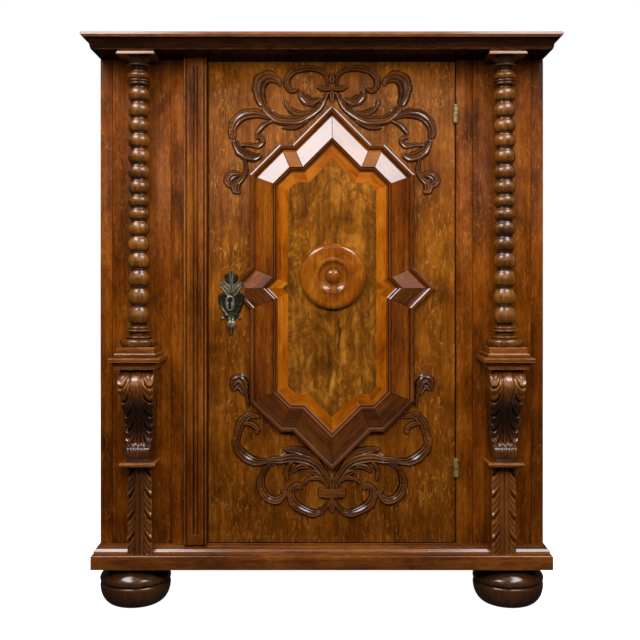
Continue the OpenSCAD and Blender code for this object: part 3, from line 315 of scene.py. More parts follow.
# ---- making pieces
# For each way of the fibres, the axes across, through and along them
ALONG = {"x": (1, 2, 0), "y": (0, 2, 1), "z": (0, 1, 2)}
JOIN = 2e-6  # metres under which two vertices are one
OWN_MARKS_ONLY = 0.01  # wear and shade so faint that only a piece's own marks and painted shade show
HOLLOW_DIRT_AND_SHADE = -0.6  # dirt and painted shade in the hollows beside narrow faces
LONG, KEEN = 12, 40  # mm and degrees over which an edge is rounded
NARROW, DENT = 6, 15  # mm under which a face is narrow, degrees over which an edge is hollow


def lay_grain(bm, along, seed):
    """Writes the attribute grain: the fibres run along one axis, from a place of their own."""
    draw = random.Random(seed)
    start = Vector([draw.uniform(0, 6) for _ in range(3)])
    layer = bm.loops.layers.float_vector.new("grain")
    order = ALONG[along]
    for face in bm.faces:
        for loop in face.loops:
            loop[layer] = start + Vector([loop.vert.co[i] for i in order])


def lay_wear(bm, strength, marks_and_shade=None):
    """Writes the attribute of wear and shade: below 0 in hollows, as dirt and painted shade, above
    0 on edges that hands rub.

    A piece's own function of (x, p, z), in mm, adds marks, painted shade and painted light of its
    own.
    """
    layer = bm.verts.layers.float.new("wear_and_shade")
    bm.normal_update()
    for v in bm.verts:
        bends = [(e.other_vert(v).co - v.co).normalized().dot(v.normal) for e in v.link_edges]
        own = marks_and_shade(v.co.x / MM, FRONT_Y - v.co.y / MM, v.co.z / MM) if marks_and_shade else 0.0
        v[layer] = max(-1.0, min(1.0, own - strength * sum(bends) / len(bends)))


def meshed(name, bm):
    mesh = bpy.data.meshes.new(name)
    bm.to_mesh(mesh)
    bm.free()
    return mesh


def piece(name, bm, body, finish, stands_for, along="z", grain=None, sharp=34, wear_and_shade=0.0,
          marks_and_shade=None):
    """Finishes a mesh as a piece: its grain, shading, material, body and CAD nodes."""
    if grain:
        grain(bm)
    else:
        lay_grain(bm, along, name)
    if wear_and_shade:
        lay_wear(bm, wear_and_shade, marks_and_shade)
    for face in bm.faces:
        face.smooth = True
    for edge in bm.edges:
        edge.smooth = len(edge.link_faces) == 2 and edge.calc_face_angle() < radians(sharp)
    mesh = meshed(name, bm)
    mesh.materials.append(finish)
    made = added(name, mesh)
    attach(made, body)
    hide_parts(*stands_for)
    return made


def copied(cad_node, flat=1.0):
    """The CAD node's mesh with its loose triangles merged and flat faces made one."""
    bm = bmesh.new()
    bm.from_mesh(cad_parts[cad_node].data)
    ops.remove_doubles(bm, verts=bm.verts, dist=JOIN)
    if flat:
        ops.dissolve_limit(bm, angle_limit=radians(flat), verts=bm.verts, edges=bm.edges)
    return bm


def ease(bm, width, rub=0.6, tone=0.0):
    """Rounds edges long enough to be seen, and writes wear and shade: rubbed edges, and dirt and
    painted shade in the hollows beside narrow faces.
    """
    edges = [e for e in bm.edges if len(e.link_faces) == 2 and e.calc_length() > LONG * MM
             and e.calc_face_angle_signed() > radians(KEEN)]
    made = ops.bevel(bm, geom=edges, offset=width * MM, offset_type="OFFSET", segments=2,
                     profile=0.5, affect="EDGES", material=-1, clamp_overlap=False)
    rubbed = set(made["faces"])
    hollow = {e for e in bm.edges if len(e.link_faces) == 2
              and e.calc_face_angle_signed() < -radians(DENT)}
    layer = bm.loops.layers.float.new("wear_and_shade")
    for face in bm.faces:
        longest = max(e.calc_length() for e in face.edges)
        narrow = face.calc_area() < NARROW * MM * longest
        for loop in face.loops:
            sides = [e for e in (loop.edge, loop.link_loop_prev.edge)
                     if e.calc_length() > longest / 3]
            dirtied_and_shaded = narrow and not hollow.isdisjoint(sides)
            loop[layer] = rub if face in rubbed else HOLLOW_DIRT_AND_SHADE if dirtied_and_shaded else tone
    return bm


def dressed(cad_node, body, finish, along="z", width=1.0, rub=-0.35):
    """A board or moulding of the CAD model with eased edges and its own grain."""
    bm = ease(copied(cad_node), width, rub)
    return piece("wood_" + cad_node, bm, body, finish, [cad_node], along)


def turned(profile, centre, forwards=False, steps=72):
    """Turning from a profile of (radius, distance along the axis), in mm, round a place."""
    bm = bmesh.new()
    axis, side = ((0, -1, 0), (1, 0, 0)) if forwards else ((0, 0, 1), (1, 0, 0))
    line = [bm.verts.new(centre + (Vector(side) * r + Vector(axis) * h) * MM) for r, h in profile]
    edges = [bm.edges.new(pair) for pair in zip(line, line[1:])]
    ops.spin(bm, geom=line + edges, cent=centre, axis=axis, dvec=(0, 0, 0), angle=tau,
             steps=steps, use_merge=True, use_duplicate=False)
    ops.remove_doubles(bm, verts=bm.verts, dist=JOIN)
    ops.recalc_face_normals(bm, faces=bm.faces)
    return bm


def arc(cx, cy, rx, ry, a0, a1, n):
    """Points of an elliptical arc between two angles in degrees."""
    turns = [radians(a0 + (a1 - a0) * i / n) for i in range(n + 1)]
    return [(cx + rx * cos(a), cy + ry * sin(a)) for a in turns]


def bulge(z0, z1, r_in, r_out, n=8):
    """Half round bulge of a turning between two heights."""
    turns = [pi * i / n for i in range(n + 1)]
    return [(r_in + (r_out - r_in) * sin(a), (z0 + z1) / 2 - (z1 - z0) / 2 * cos(a))
            for a in turns]


def smooth_line(points, steps=6):
    """Smooth curve through points, with some steps between two of them."""
    line, last = [], len(points) - 1
    for i in range(last):
        a, b, c, d = (Vector(points[j]) for j in (max(i - 1, 0), i, i + 1, min(i + 2, last)))
        for k in range(steps):
            t = k / steps
            line.append(0.5 * (2 * b + (c - a) * t + (2 * a - 5 * b + 4 * c - d) * t * t
                               + (3 * b - a - 3 * c + d) * t ** 3))
    return line + [Vector(points[-1])]


def between(points, t):
    """Value at t on a line of (t, value) points."""
    for (t0, a), (t1, b) in zip(points, points[1:]):
        if t <= t1:
            return a + (b - a) * max(0.0, t - t0) / (t1 - t0)
    return points[-1][1]


# ---- case
for cad_node in ("side_left", "side_right", "front_board_left_outer", "front_board_left_inner",
                 "front_board_right_inner", "front_board_right_outer"):
    dressed(cad_node, "cabinet", case_oak)
for cad_node, along in (
        ("base_board", "x"), ("base_moulding_left", "y"), ("base_moulding_right", "y"),
        ("sill", "x"), ("pedestal_left", "x"), ("pedestal_right", "x"), ("ledge_left", "x"),
        ("ledge_right", "x")):
    dressed(cad_node, "cabinet", moulded_oak, along, width=1.6, rub=0.6)
for cad_node in ("capital_left", "capital_right"):
    # Painted shade darkens the capitals a little, under the cornice
    bm = ease(copied(cad_node), 1.4, 0.4, -0.25)
    bm.normal_update()
    layer = bm.loops.layers.float["wear_and_shade"]
    # Painted shade blackens the undersides
    for loop in (loop for face in bm.faces if face.normal.z < -0.1 for loop in face.loops):
        loop[layer] = -0.9
    piece("wood_" + cad_node, bm, "cabinet", moulded_oak, [cad_node], "x")

# The fluted strip: dirt and painted shade darken its quirks and the channel beside the reed, and
# painted shade darkens it towards the bottom.
# Its quirks and channel are wider than the CAD's, and the channel stops higher
REED, WALL, QUIRK, SIDE, STOP_Z = 3.2, 5.5, (17.5, 19), 25, 145.5
REED_SHIFT, WALL_SHIFT, QUIRK_SHIFT, STOP_SHIFT = 0.8, 1.5, 2, 5
REED_P, HOLLOW_P = 6.1, 9.8  # the reed lies over the first; hollows end below the second
STRIP_DIRT_AND_SHADE, STRIP_LOW_SHADE = -0.42, 0.25
bm = copied("fluted_strip")
mid = sum(end(v.co.x for v in bm.verts) for end in (min, max)) / 2 / MM  # x counts from it
for v in bm.verts:
    x = v.co.x / MM - mid
    if abs(x) < WALL + 0.1 and abs(v.co.z / MM - STOP_Z) < 1.5:
        v.co.z += STOP_SHIFT * MM
    if abs(x) < REED + 0.1:
        v.co.x += REED_SHIFT * MM
    elif abs(x - WALL) < 0.1:
        v.co.x += WALL_SHIFT * MM
    elif QUIRK[0] - 0.2 < abs(x) < QUIRK[1] + 0.2:
        v.co.x -= copysign(QUIRK_SHIFT, x) * MM
bm = ease(bm, 0.6, 0.4)
bm.normal_update()
layer = bm.loops.layers.float["wear_and_shade"]
for face in bm.faces:
    q = face.calc_center_median() / MM
    x, p = q.x - mid, FRONT_Y - q.y
    reed = abs(x - REED_SHIFT) < REED + 0.1 and p > REED_P
    hollow = p < HOLLOW_P and abs(x) < SIDE - 0.2 and abs(face.normal.z) < 0.5 and not reed
    for loop in face.loops:
        if hollow:
            loop[layer] = STRIP_DIRT_AND_SHADE
        loop[layer] -= STRIP_LOW_SHADE * (1 - loop.vert.co.z / MM / TOTAL_H)
piece("wood_fluted_strip", bm, "cabinet", strip_oak, ["fluted_strip"], "z")

# The base moulding's toe is a worn slope, which mirrors the lights along its whole length.
# Its corners (p, z) as built and as worn
TOE = (((29.54, 119.45), (29.5, 118.9)), ((28.24, 120.7), (28, 120.6)),
       ((26.3, 121.5), (26.5, 122.3)), ((24, 121.8), (25, 124)))
bm = copied("base_moulding_front", 0)
for v in bm.verts:
    p, z = FRONT_Y - v.co.y / MM, v.co.z / MM
    for here, there in TOE:
        if (Vector(here) - Vector((p, z))).length < 0.3:
            v.co = at(v.co.x / MM, *there)
            break
piece("wood_base_moulding_front", ease(bm, 0.5), "cabinet", moulded_oak,
      ["base_moulding_front"], "x", sharp=30)
for cad_node, along in (("cornice_left", "y"), ("cornice_right", "y"), ("top_board", "x")):
    dressed(cad_node, "cabinet", cornice_oak, along, width=1.2, rub=0.6)

# The crown's bead is rubbed flat on its upper front, so it mirrors the lights as one line
BEAD_P, BEAD_Z, BEAD_R = 99.5, 1195.5, 4.5
FLAT_TILT, FLAT_HALF, FLAT_DEPTH = 18, 27, 36  # degrees: the flat's tilt, its half arc, its chord
flat_way = Vector((-cos(radians(FLAT_TILT)), sin(radians(FLAT_TILT))))
bm = copied("cornice_front", 0)
for v in bm.verts:
    q = Vector((BEAD_P - FRONT_Y + v.co.y / MM, v.co.z / MM - BEAD_Z))
    turn = degrees(atan2(q.y, -q.x))
    if abs(q.length - BEAD_R) < 0.05 and FLAT_TILT - FLAT_HALF < turn < FLAT_TILT + FLAT_HALF:
        q += flat_way * (BEAD_R * cos(radians(FLAT_DEPTH)) - q.dot(flat_way))
        v.co.y, v.co.z = (q.x - BEAD_P + FRONT_Y) * MM, (q.y + BEAD_Z) * MM
bm = ease(bm, 0.6)
# The bead's faces take the paler finish, a painted highlight
for face in bm.faces:
    face.material_index = int(face.calc_center_median().z > (BEAD_Z - BEAD_R - 1) * MM)
crown = piece("wood_cornice_front", bm, "cabinet", cornice_oak, ["cornice_front"], "x")
crown.data.materials.append(bead_oak)
for cad_node, along in (
        ("head_rail", "x"), ("floor_board", "x"), ("back_board_left", "z"),
        ("back_board_middle", "z"), ("back_board_right", "z"), ("shelf_lower", "x"),
        ("shelf_upper", "x"), ("shelf_cleats", "y"), ("cornice_back", "x")):
    dressed(cad_node, "cabinet", inside_oak, along)

# Bun feet: a full round belly, a groove, and a crown that leans in under the base
SIDES = (("left", -1), ("right", 1))
FOOT_X, FOOT_P = 403, (("front", -20), ("rear", -366))
foot_profile = ([(0, 0)] + arc(45, 41, 30, 41, -90, 0, 12)
                + [(74.8, 43), (74, 45), (72.4, 46.8), (70.6, 48.2), (70.2, 49.2), (71.6, 50.2),
                   (73.8, 50.9), (75, 52.2), (75.5, 54.5), (75.2, 57), (74.2, 60), (72.4, 62.8)]
                + [(70, 65.4), (67.2, 68.3), (64.2, 71.5), (61, 75), (57.8, 78.5), (55, 82),
                   (53, 85), (52, 87), (15, 87), (15, 107), (0, 107)])
for side, hand in SIDES:
    for end, p in FOOT_P:
        bm = turned(foot_profile, at(hand * FOOT_X, p, 0))
        piece(f"bun_foot_{end}_{side}", bm, "cabinet", foot_oak,
              [f"foot_{end}_{side}"], wear_and_shade=1.5)

# Columns: fifteen bobbins of unequal length between a moulded foot and head
PEDESTAL_TOP, COLUMN_TOP = 555.3, 1157.7
COLUMN_X, COLUMN_P, NECK = 383, 47, 16.5
# A bobbin from joint to joint: share of its swelling, share of its height. A hollow shoulder
# leads to the joint above it
BOBBIN = [(-0.25, 0), (0.3, 0.02), (0.62, 0.08), (0.87, 0.19), (1, 0.36), (0.96, 0.47),
          (0.82, 0.58), (0.58, 0.69), (0.3, 0.78), (0.12, 0.85), (0.1, 0.92), (0.16, 0.965),
          (-0.05, 0.99), (-0.25, 1)]
# Painted light and shade along each bobbin, from joint to joint: dark joints, a shaded lower half
# and a painted highlight on the belly
BOBBIN_SHADE_AND_HIGHLIGHT = [(0, -0.8), (0.08, -0.4), (0.2, -0.22), (0.36, -0.02), (0.5, 0.2), (0.64, 0.2),
               (0.74, 0), (0.82, -0.3), (0.9, -0.7), (1, -0.8)]
SHARES = [19, 18, 18, 17, 16, 15, 13, 13, 15, 15, 16, 15, 15, 16, 15]  # heights, from below
BOBBINS_Z0, BOBBINS_Z1 = PEDESTAL_TOP + 48.1, COLUMN_TOP - 57.6
UNIT = (BOBBINS_Z1 - BOBBINS_Z0) / sum(SHARES)


def column_profile():
    """Radii and heights of a column, from its foot to the top of its head."""
    z = PEDESTAL_TOP
    line = [(0, z)] + bulge(z, z + 16, 32.5, 39.5, 12)
    line += bulge(z + 16, z + 23, NECK + 5, NECK + 12)
    line += arc(NECK + 8, z + 26.75, 5, 3.75, -90, -270, 8)
    line += bulge(z + 30.5, z + 36.3, 24, 29.5) + bulge(z + 36.3, z + 42.1, 21, 25)
    low = BOBBINS_Z0
    for share in SHARES:
        high = low + UNIT * share
        line += [(NECK + 6.25 * q.x, low + (high - low) * q.y) for q in smooth_line(BOBBIN, 3)]
        low = high
    z = BOBBINS_Z1
    line += bulge(z, z + 5.8, 21.85, 24.35) + bulge(z + 5.8, z + 11.6, 21.85, 25.35)
    line += [(NECK + 7.25 * q.x, z + 13.0 + 18.6 * q.y) for q in smooth_line(BOBBIN, 3)]
    z = COLUMN_TOP - 13
    line += arc(NECK + 2, z - 9.5, 4, 3.5, -90, -270, 8) + bulge(z - 6, z, NECK + 3, 25.35)
    line += [(NECK + 3 + 16.5 * (1 - cos(a)), COLUMN_TOP - 13 * (1 - sin(a)))
             for a in (radians(9 * i) for i in range(11))]
    return line + [(0, COLUMN_TOP)]


def joint_dirt_and_shade(x, p, z):
    """Dark wax in the joints between bobbins, painted shade on each bobbin's lower half and on the
    head's mouldings under the cornice, a painted highlight on each belly, and darker mouldings at
    the foot.
    """
    if z < BOBBINS_Z0:
        return -0.2
    low = BOBBINS_Z0
    for share in SHARES:
        if z - low < UNIT * share:
            return between(BOBBIN_SHADE_AND_HIGHLIGHT, (z - low) / (UNIT * share))
        low += UNIT * share
    return -0.7 if z - low < 13 or z > COLUMN_TOP - 27 else 0.0


for side, hand in SIDES:
    piece("bobbin_column_" + side,
          turned(column_profile(), at(hand * COLUMN_X, COLUMN_P, 0), steps=64), "cabinet",
          turned_oak, ["column_" + side], sharp=70, wear_and_shade=1.6, marks_and_shade=joint_dirt_and_shade)

# ---- door
dressed("door_board", "door", door_oak)
dressed("door_battens", "door", inside_oak, "x")

# The raised panel's outline, anticlockwise from its right ear, round the middle (22, 676.4)
PANEL = (22.0, 676.4)
quarter = [(206, 0), (165.5, 40.5), (165.5, 238.5), (107, 297), (79, 297), (0, 376)]
outline = [Vector(q) for q in quarter + [(-x, z) for x, z in quarter[4::-1]]
           + [(-x, -z) for x, z in quarter[1:]] + [(x, -z) for x, z in quarter[4:0:-1]]]


def mitres(line):
    """For each corner, the way that it moves when the outline goes 1 mm inwards."""
    ways = []
    for i, here in enumerate(line):
        a, b = (Vector((-v.y, v.x)).normalized()
                for v in (here - line[i - 1], line[(i + 1) % len(line)] - here))
        ways.append((a + b) / (1 + a.dot(b)))
    return ways


MITRES = mitres(outline)


def inset(d):
    """The outline's corners, d mm further in."""
    return [q + d * way for q, way in zip(outline, MITRES)]


def panel_side(x, z):
    """Which side of the outline a point of the panel belongs to, by the mitres."""
    here = Vector((x, z)) - Vector(PANEL)
    best = (-1e9, 0)
    for i, q in enumerate(outline):
        j = (i + 1) % len(outline)
        way = (outline[j] - q).normalized()
        off = (here - q).dot(Vector((-way.y, way.x)))
        if -20 < off < 90:
            low = (q + off * MITRES[i]).dot(way)
            high = (outline[j] + off * MITRES[j]).dot(way)
            best = max(best, (min(here.dot(way) - low, high - here.dot(way)), i))
    return best[1]


def lay_mitred_grain(bm):
    """Grain that runs along each side of the panel and starts anew at each mitre."""
    layer = bm.loops.layers.float_vector.new("grain")
    for face in bm.faces:
        middle = face.calc_center_median() / MM
        i = panel_side(middle.x, middle.z)
        way = (outline[(i + 1) % len(outline)] - outline[i]).normalized()
        start = Vector((0.31 * i, 0.17 * i, 0.73 * i))
        for loop in face.loops:
            x, y, z = loop.vert.co
            loop[layer] = start + Vector((z * way.x - x * way.y, y, x * way.x + z * way.y))


def shaped_grid(columns, rows, place):
    """Grid whose point (u, t), both from 0 to 1, goes where place says; edges that meet join."""
    bm = bmesh.new()
    ops.create_grid(bm, x_segments=columns, y_segments=rows, size=0.5)
    for v in bm.verts:
        v.co = place(round(v.co.x + 0.5, 6), round(v.co.y + 0.5, 6))
    ops.remove_doubles(bm, verts=bm.verts, dist=JOIN)
    ops.dissolve_degenerate(bm, edges=bm.edges, dist=1e-6)
    ops.holes_fill(bm, edges=[e for e in bm.edges if e.is_boundary], sides=0)
    ops.recalc_face_normals(bm, faces=bm.faces)
    return bm


def mitred_ring(profile):
    """Moulding round the panel's outline: profile holds (distance inwards, height)."""
    corners, rows = len(outline), len(profile)

    def place(u, t):
        d, height = profile[round(t * rows) % rows]
        q = inset(d)[round(u * corners) % corners]
        return at(PANEL[0] + q.x, height, PANEL[1] + q.y)
    return shaped_grid(corners, rows, place)


# The rim's edges (distance inwards, height) in the CAD and here
RIM = (((0, 12.5), (0, 11.8)), ((-1.5, 14.5), (-2.8, 14.0)), ((-7, 14.5), (-6.9, 14.6)),
       ((-9.5, 12), (-9.7, 13.2)))


def finer_rim(co):
    """Where a corner of the rim goes."""
    p = FRONT_Y - co.y / MM
    for q, way in zip(outline, MITRES):
        for (d0, p0), (d1, p1) in RIM:
            near = q + d0 * way + Vector(PANEL) - Vector((co.x, co.z)) / MM
            if near.length < 0.2 and abs(p - p0) < 0.2:
                return at(PANEL[0] + q.x + d1 * way.x, p1, PANEL[1] + q.y + d1 * way.y)
    return co


bm = copied("panel_rim", 0)
for v in bm.verts:
    v.co = finer_rim(v.co)
# Painted shade darkens its outer foot all round, and its lower slopes in the lower half, which face
# away from the lights
piece("panel_rim_moulding", bm, "door", rim_oak, ["panel_rim"],
      grain=lay_mitred_grain, sharp=15, wear_and_shade=OWN_MARKS_ONLY,
      marks_and_shade=lambda x, p, z: -0.8 if p < 11 else -0.55 if p < 13.5 and z < 640 else 0.0)

LOW, FLAT, GLUE = 1, 2, 3  # the bevels' further materials
bm = copied("panel_bevels")
bm.normal_update()
# A dark glue line along every mitre
for face in ops.inset_individual(bm, faces=[f for f in bm.faces if f.normal.y < -0.5],
                                 thickness=0.7 * MM, use_even_offset=True)["faces"]:
    face.material_index = GLUE
# Facets that face down take the darker copy, a painted shade; the level ones that face up take the
# paler copy, a painted light
for face in (f for f in bm.faces if f.material_index != GLUE):
    if face.normal.y < -0.5 and face.normal.z < -0.1:
        face.material_index = LOW
    elif face.normal.z > 0.1 and abs(face.normal.x) < 0.1:
        face.material_index = FLAT
bevels = piece("panel_bevel_veneers", bm, "door", bevel_walnut,
               ["panel_bevels"], grain=lay_mitred_grain, sharp=8)
for finish in (low_walnut, flat_walnut, glue_line):
    bevels.data.materials.append(finish)

step_profile = [(40, 0), (49.7, 0), (49.7, 15.6), (49.4, 16), (47.5, 17.3), (47.1, 17.5),
                (45.3, 17.7), (45, 18.1), (44.6, 21.3), (44.3, 21.7), (42.4, 23), (42, 23.2),
                (40.9, 23.3), (40.5, 24), (40.4, 25.5), (40, 25.5)]
# Painted shade darkens the step's steep inner wall and its top, between the lines that mirror the
# lights
piece("panel_step_moulding", mitred_ring(step_profile), "door", step_walnut,
      ["panel_step"], grain=lay_mitred_grain, sharp=15, wear_and_shade=OWN_MARKS_ONLY,
      marks_and_shade=lambda x, p, z: -0.5 if 17.4 < p < 21.5 or p > 23.1 else 0.0)
band_profile = [(49.7, 0), (71.4, 0), (71.4, 14), (49.7, 14)]
piece("panel_crossband_veneers", mitred_ring(band_profile), "door", band_cherry,
      ["panel_crossband"], grain=lay_mitred_grain)


def field_crack(x, p, z):
    """A dark shake in the field's veneer below the roundel, with a pale flame at its foot."""
    middle = 37 + 1.6 * sin(z / 9) + 0.8 * sin(z / 3.7)
    split = between([(505, 0), (525, 0.6), (585, 0.95), (612, 0.4), (622, 0)], z)
    flame = between([(440, 0), (452, 0.5), (478, 0.7), (505, 0.2), (520, 0)], z)
    return (flame * exp(-((x - 22 - (z - 470) / 6) / (3 + (500 - z) / 12)) ** 2)
            - split * exp(-((x - middle) / 1.9) ** 2))


# Cuts through the field where the shake is, for its wear to follow
bm = copied("panel_field")
for k in range(34):
    for cut, way in ((at(2 + 1.5 * k, 0, 0), (1, 0, 0)), (at(0, 0, 438 + 5.6 * k), (0, 0, 1))):
        ops.bisect_plane(bm, geom=bm.verts[:] + bm.edges[:] + bm.faces[:], dist=1e-7,
                         plane_co=cut, plane_no=way)
piece("figured_panel_field", bm, "door", field_walnut, ["panel_field"],
      wear_and_shade=OWN_MARKS_ONLY, marks_and_shade=field_crack)

# Roundel: a ball in a cove inside a rim, and a broad gently rounded ring
ROUNDEL_X, ROUNDEL_Z = 24, 702
# Painted shade in the cove round the ball and under the rim, and a faintly paler outer ring
ROUNDEL_SHADE = [(12, 0), (16, -0.5), (20, -0.25), (26, -0.05), (30, -0.25), (33, -0.1), (60, 0.1),
                (72, 0)]
roundel_profile = ([(0, 0), (69.5, 0), (70.4, 2)] + arc(58, 6, 12.5, 11, -10, 82, 14)
                   + [(54, 16.9), (48, 16.3), (43, 16), (39.5, 16.4), (37, 17.2), (34, 17.4)]
                   + [(33, 17.2), (32, 16.6), (31, 15.7), (30, 14.8), (29, 14.05), (28, 13.4)]
                   + [(27, 12.85), (26, 12.4), (24.5, 11.85), (23, 11.45), (21, 11.1)]
                   + [(19, 10.9), (17, 10.8)] + arc(0, 9.2, 15.2, 9.8, 10, 90, 12))
bm = turned(roundel_profile, at(ROUNDEL_X, 14, ROUNDEL_Z), forwards=True, steps=96)
piece("turned_roundel", bm, "door", pear, ["roundel"], sharp=50, wear_and_shade=1.0,
      marks_and_shade=lambda x, p, z: between(ROUNDEL_SHADE, hypot(x - ROUNDEL_X, z - ROUNDEL_Z)))

# ---- carving
# Widths from which a leaf has two ridges, a hollow, three ridges and lobes
SLIM, SCOOPED, BROAD = 7, 10, 13


def add_to(bm, made):
    """Joins a mesh to another."""
    mesh = meshed("part", made)
    bm.from_mesh(mesh)
    bpy.data.meshes.remove(mesh)


def leaf_stroke(bm, widths, points, x, z, height, side):
    """One leaf or stem of a carving: a domed ribbon along a line, gouged with grooves.

    widths are those at its start, middle and end; points count from x and z.
    """
    line = smooth_line(points)
    last = len(line) - 1
    start, middle, end = widths
    wide = max(widths)
    ridges = 1 if wide < SLIM else 2 if wide < BROAD else 3
    across = 4 * ridges + 1
    turns = [(line[min(i + 1, last)] - line[max(i - 1, 0)]).normalized() for i in range(last + 1)]
    outer = -1 if sum(a.cross(b) for a, b in zip(turns, turns[1:])) > 0 else 1

    def width(t):
        tip = start if t < 0.5 else end
        w = tip + (middle - tip) * sin(pi * t)
        near = min(t, 1 - t) / 0.07
        if near < 1:
            w *= sqrt(1 - (1 - near) ** 2)
        return max(w * 1.3, 0.6)

    def place(u, t):
        i = round(u * last)
        way = turns[i]
        bend = turns[max(i - 1, 0)].cross(turns[min(i + 1, last)])
        w = width(i / last)
        j = round(t * (across + 2)) % (across + 2)
        if j in (0, across + 1):
            s, lift = (-1.0, 0.0) if j == 0 else (1.0, 0.0)
            w += 2.6 if height > 5 else 0.6
        else:
            s = -1 + 2 * (j - 1) / (across - 1)
            slim = min(1.0, w / SLIM)
            # Roof-shaped ridges, whose slopes mirror the lights as thin bright lines
            dome = 0.62 + 0.38 * (1 - s * s)
            lift = height * (0.75 + 0.25 * (i / last)) * dome * (0.55 + 0.45 * slim)
            ridge = abs((ridges * (s + 1) / 2) % 1.0 - 0.5) * 2
            lift -= ridge * 0.62 * w / (2 * ridges) + 0.25 * height * (abs(s) > 0.99)
            # A broad leaf is scooped inside its rolled outer edge
            if wide >= SCOOPED:
                lift -= 0.2 * height * slim * exp(-((s * outer + 0.25) / 0.4) ** 2)
            lift += 0.12 * height * s * max(-1.0, min(1.0, -bend * 6)) * slim
        # Lobes along the outer edge of a broad leaf
        if wide >= BROAD and s * outer > 0.2 and i > 0.25 * last:
            w *= 1 + 0.2 * abs(sin(pi * 5 * i / last)) ** 0.7
        q = line[i] + Vector((-way.y, way.x)) * (s * w / 2)
        return at(x + side * q.x, lift, z + q.y)
    add_to(bm, shaped_grid(last, across + 2, place))


def knob(bm, x, p, z, r, flat):
    """Small carved ball, flattened."""
    made = ops.create_uvsphere(bm, u_segments=16, v_segments=10, radius=r * MM)
    ops.scale(bm, vec=(1, flat, 1), verts=made["verts"])
    ops.translate(bm, vec=at(x, p, z), verts=made["verts"])


# Leaves of the door's carving, right half: start, middle and end width, then the line as
# (distance from the middle, height over the knot)
TOP_LEAVES = [
    ((5, 11, 5), [(9, 5), (14, 29), (33, 41), (56, 43), (81, 37), (94, 24), (97, 9), (88, -5),
      (77, -3), (75, 3)]),
    ((8, 15, 13), [(10, -9), (26, -39), (45, -54), (68, -66), (90, -69), (115, -66), (132, -56),
      (147, -39)]),
    ((13, 22, 3), [(147, -39), (155, -18), (156, 1), (151, 16), (136, 24), (119, 18), (110, 4)]),
    ((4, 16, 9), [(118, -68), (147, -58), (166, -54), (189, -58), (206, -71), (214, -90),
      (210, -109)]),
    ((9, 16, 5), [(210, -109), (201, -130), (184, -143), (163, -147), (152, -140)]),
    ((5, 9, 6), [(200, -122), (176, -121), (159, -124), (149, -115), (153, -105), (164, -105)]),
    ((4, 8, 10), [(190, -144), (184, -172), (189, -189), (204, -206)]),
    ((4, 14, 3), [(191, -187), (205, -184), (218, -189), (223, -202), (213, -213)]),
    ((6, 14, 4), [(195, -192), (204, -206), (206, -218), (195, -222)]),
    ((4, 10, 2), [(45, -50), (68, -54), (90, -45), (102, -24)]),
    ((4, 16, 2), [(24, -22), (45, -28), (62, -18), (67, -3)]),
    ((5, 10, 3), [(49, -66), (77, -82), (108, -84)]),
    ((3, 9, 3), [(125, -69), (144, -77), (157, -90), (164, -101)]),
    ((7, 10, 3), [(0, 0), (13, -1), (24, 1), (34, 5)]),
    ((6, 12, 2), [(0, 10), (0, 20), (0, 36)]),
    ((8, 10, 4), [(0, -8), (0, -18), (0, -30)])]
BOTTOM_LEAVES = [
    ((5, 14, 6), [(4, -12), (15, -30), (34, -42), (56, -37), (78, -24), (88, -6), (86, 9),
      (74, 17), (66, 11)]),
    ((5, 8, 3), [(8, 13), (19, 28), (34, 34), (52, 30), (61, 20)]),
    ((3, 12, 2), [(24, 34), (34, 44), (48, 49)]),
    ((10, 17, 8), [(4, 15), (17, 41), (34, 61), (56, 72), (86, 76), (112, 72), (136, 71)]),
    ((4, 14, 2), [(19, 52), (41, 80), (74, 92), (104, 96)]),
    ((5, 16, 6), [(128, 71), (160, 68), (184, 78), (202, 98), (210, 122)]),
    ((8, 13, 3), [(204, 104), (202, 128), (193, 154), (175, 168), (154, 164)]),
    ((3, 9, 8), [(192, 150), (177, 150), (162, 142), (160, 130)]),
    ((6, 13, 6), [(116, 71), (142, 54), (152, 30), (150, 8), (136, -10), (117, -14), (104, -2),
      (108, 9)]),
    ((4, 9, 3), [(86, 69), (98, 50), (95, 28)]),
    ((3, 11, 3), [(86, 46), (69, 58), (50, 58)]),
    ((6, 24, 5), [(216, 222), (200, 240), (185, 212)]),
    ((8, 5, 3), [(186, 222), (181, 204), (180, 187)]),
    *(((5, 7, 5), [(q - 1, 10 + q / 9), (q, q / 9), (q - 1, q / 9 - 10)])
      for q in (3, 8.5, 14, 19.5, 25)),
    ((8, 13, 3), [(0, -8), (0, -22), (0, -40)]),
    ((7, 10, 4), [(0, 10), (0, 22), (0, 34)])]
CARVING_SHADE = [(0, -1.6), (2.4, -0.9), (3.8, -0.35), (9, -0.1)]  # by height: painted shade darkens the foot of each leaf
for where, leaves, knot_z in (("top", TOP_LEAVES, 1105.0), ("bottom", BOTTOM_LEAVES, 236.0)):
    bm = bmesh.new()
    for side in (-1, 1):
        for widths, points in leaves:
            leaf_stroke(bm, widths, points, PANEL[0], knot_z, 9.0, side)
    piece("scroll_carving_" + where, bm, "door", carved_oak, ["carving_" + where],
          along="x", sharp=38, wear_and_shade=1.2, marks_and_shade=lambda x, p, z: between(CARVING_SHADE, p))

RETURN = 0.08  # share of a cross-section's points that go to each of its sides


def across_and_depth(u):
    """Place across a console or pilaster, from -1 to 1, and share of the depth: 1 in front."""
    if u >= 1 or u < RETURN:
        return -1, u % 1 / RETURN
    if u > 1 - RETURN:
        return 1, min(1.0, (1 - u) / RETURN)
    return -1 + 2 * (u - RETURN) / (1 - 2 * RETURN), 1.0


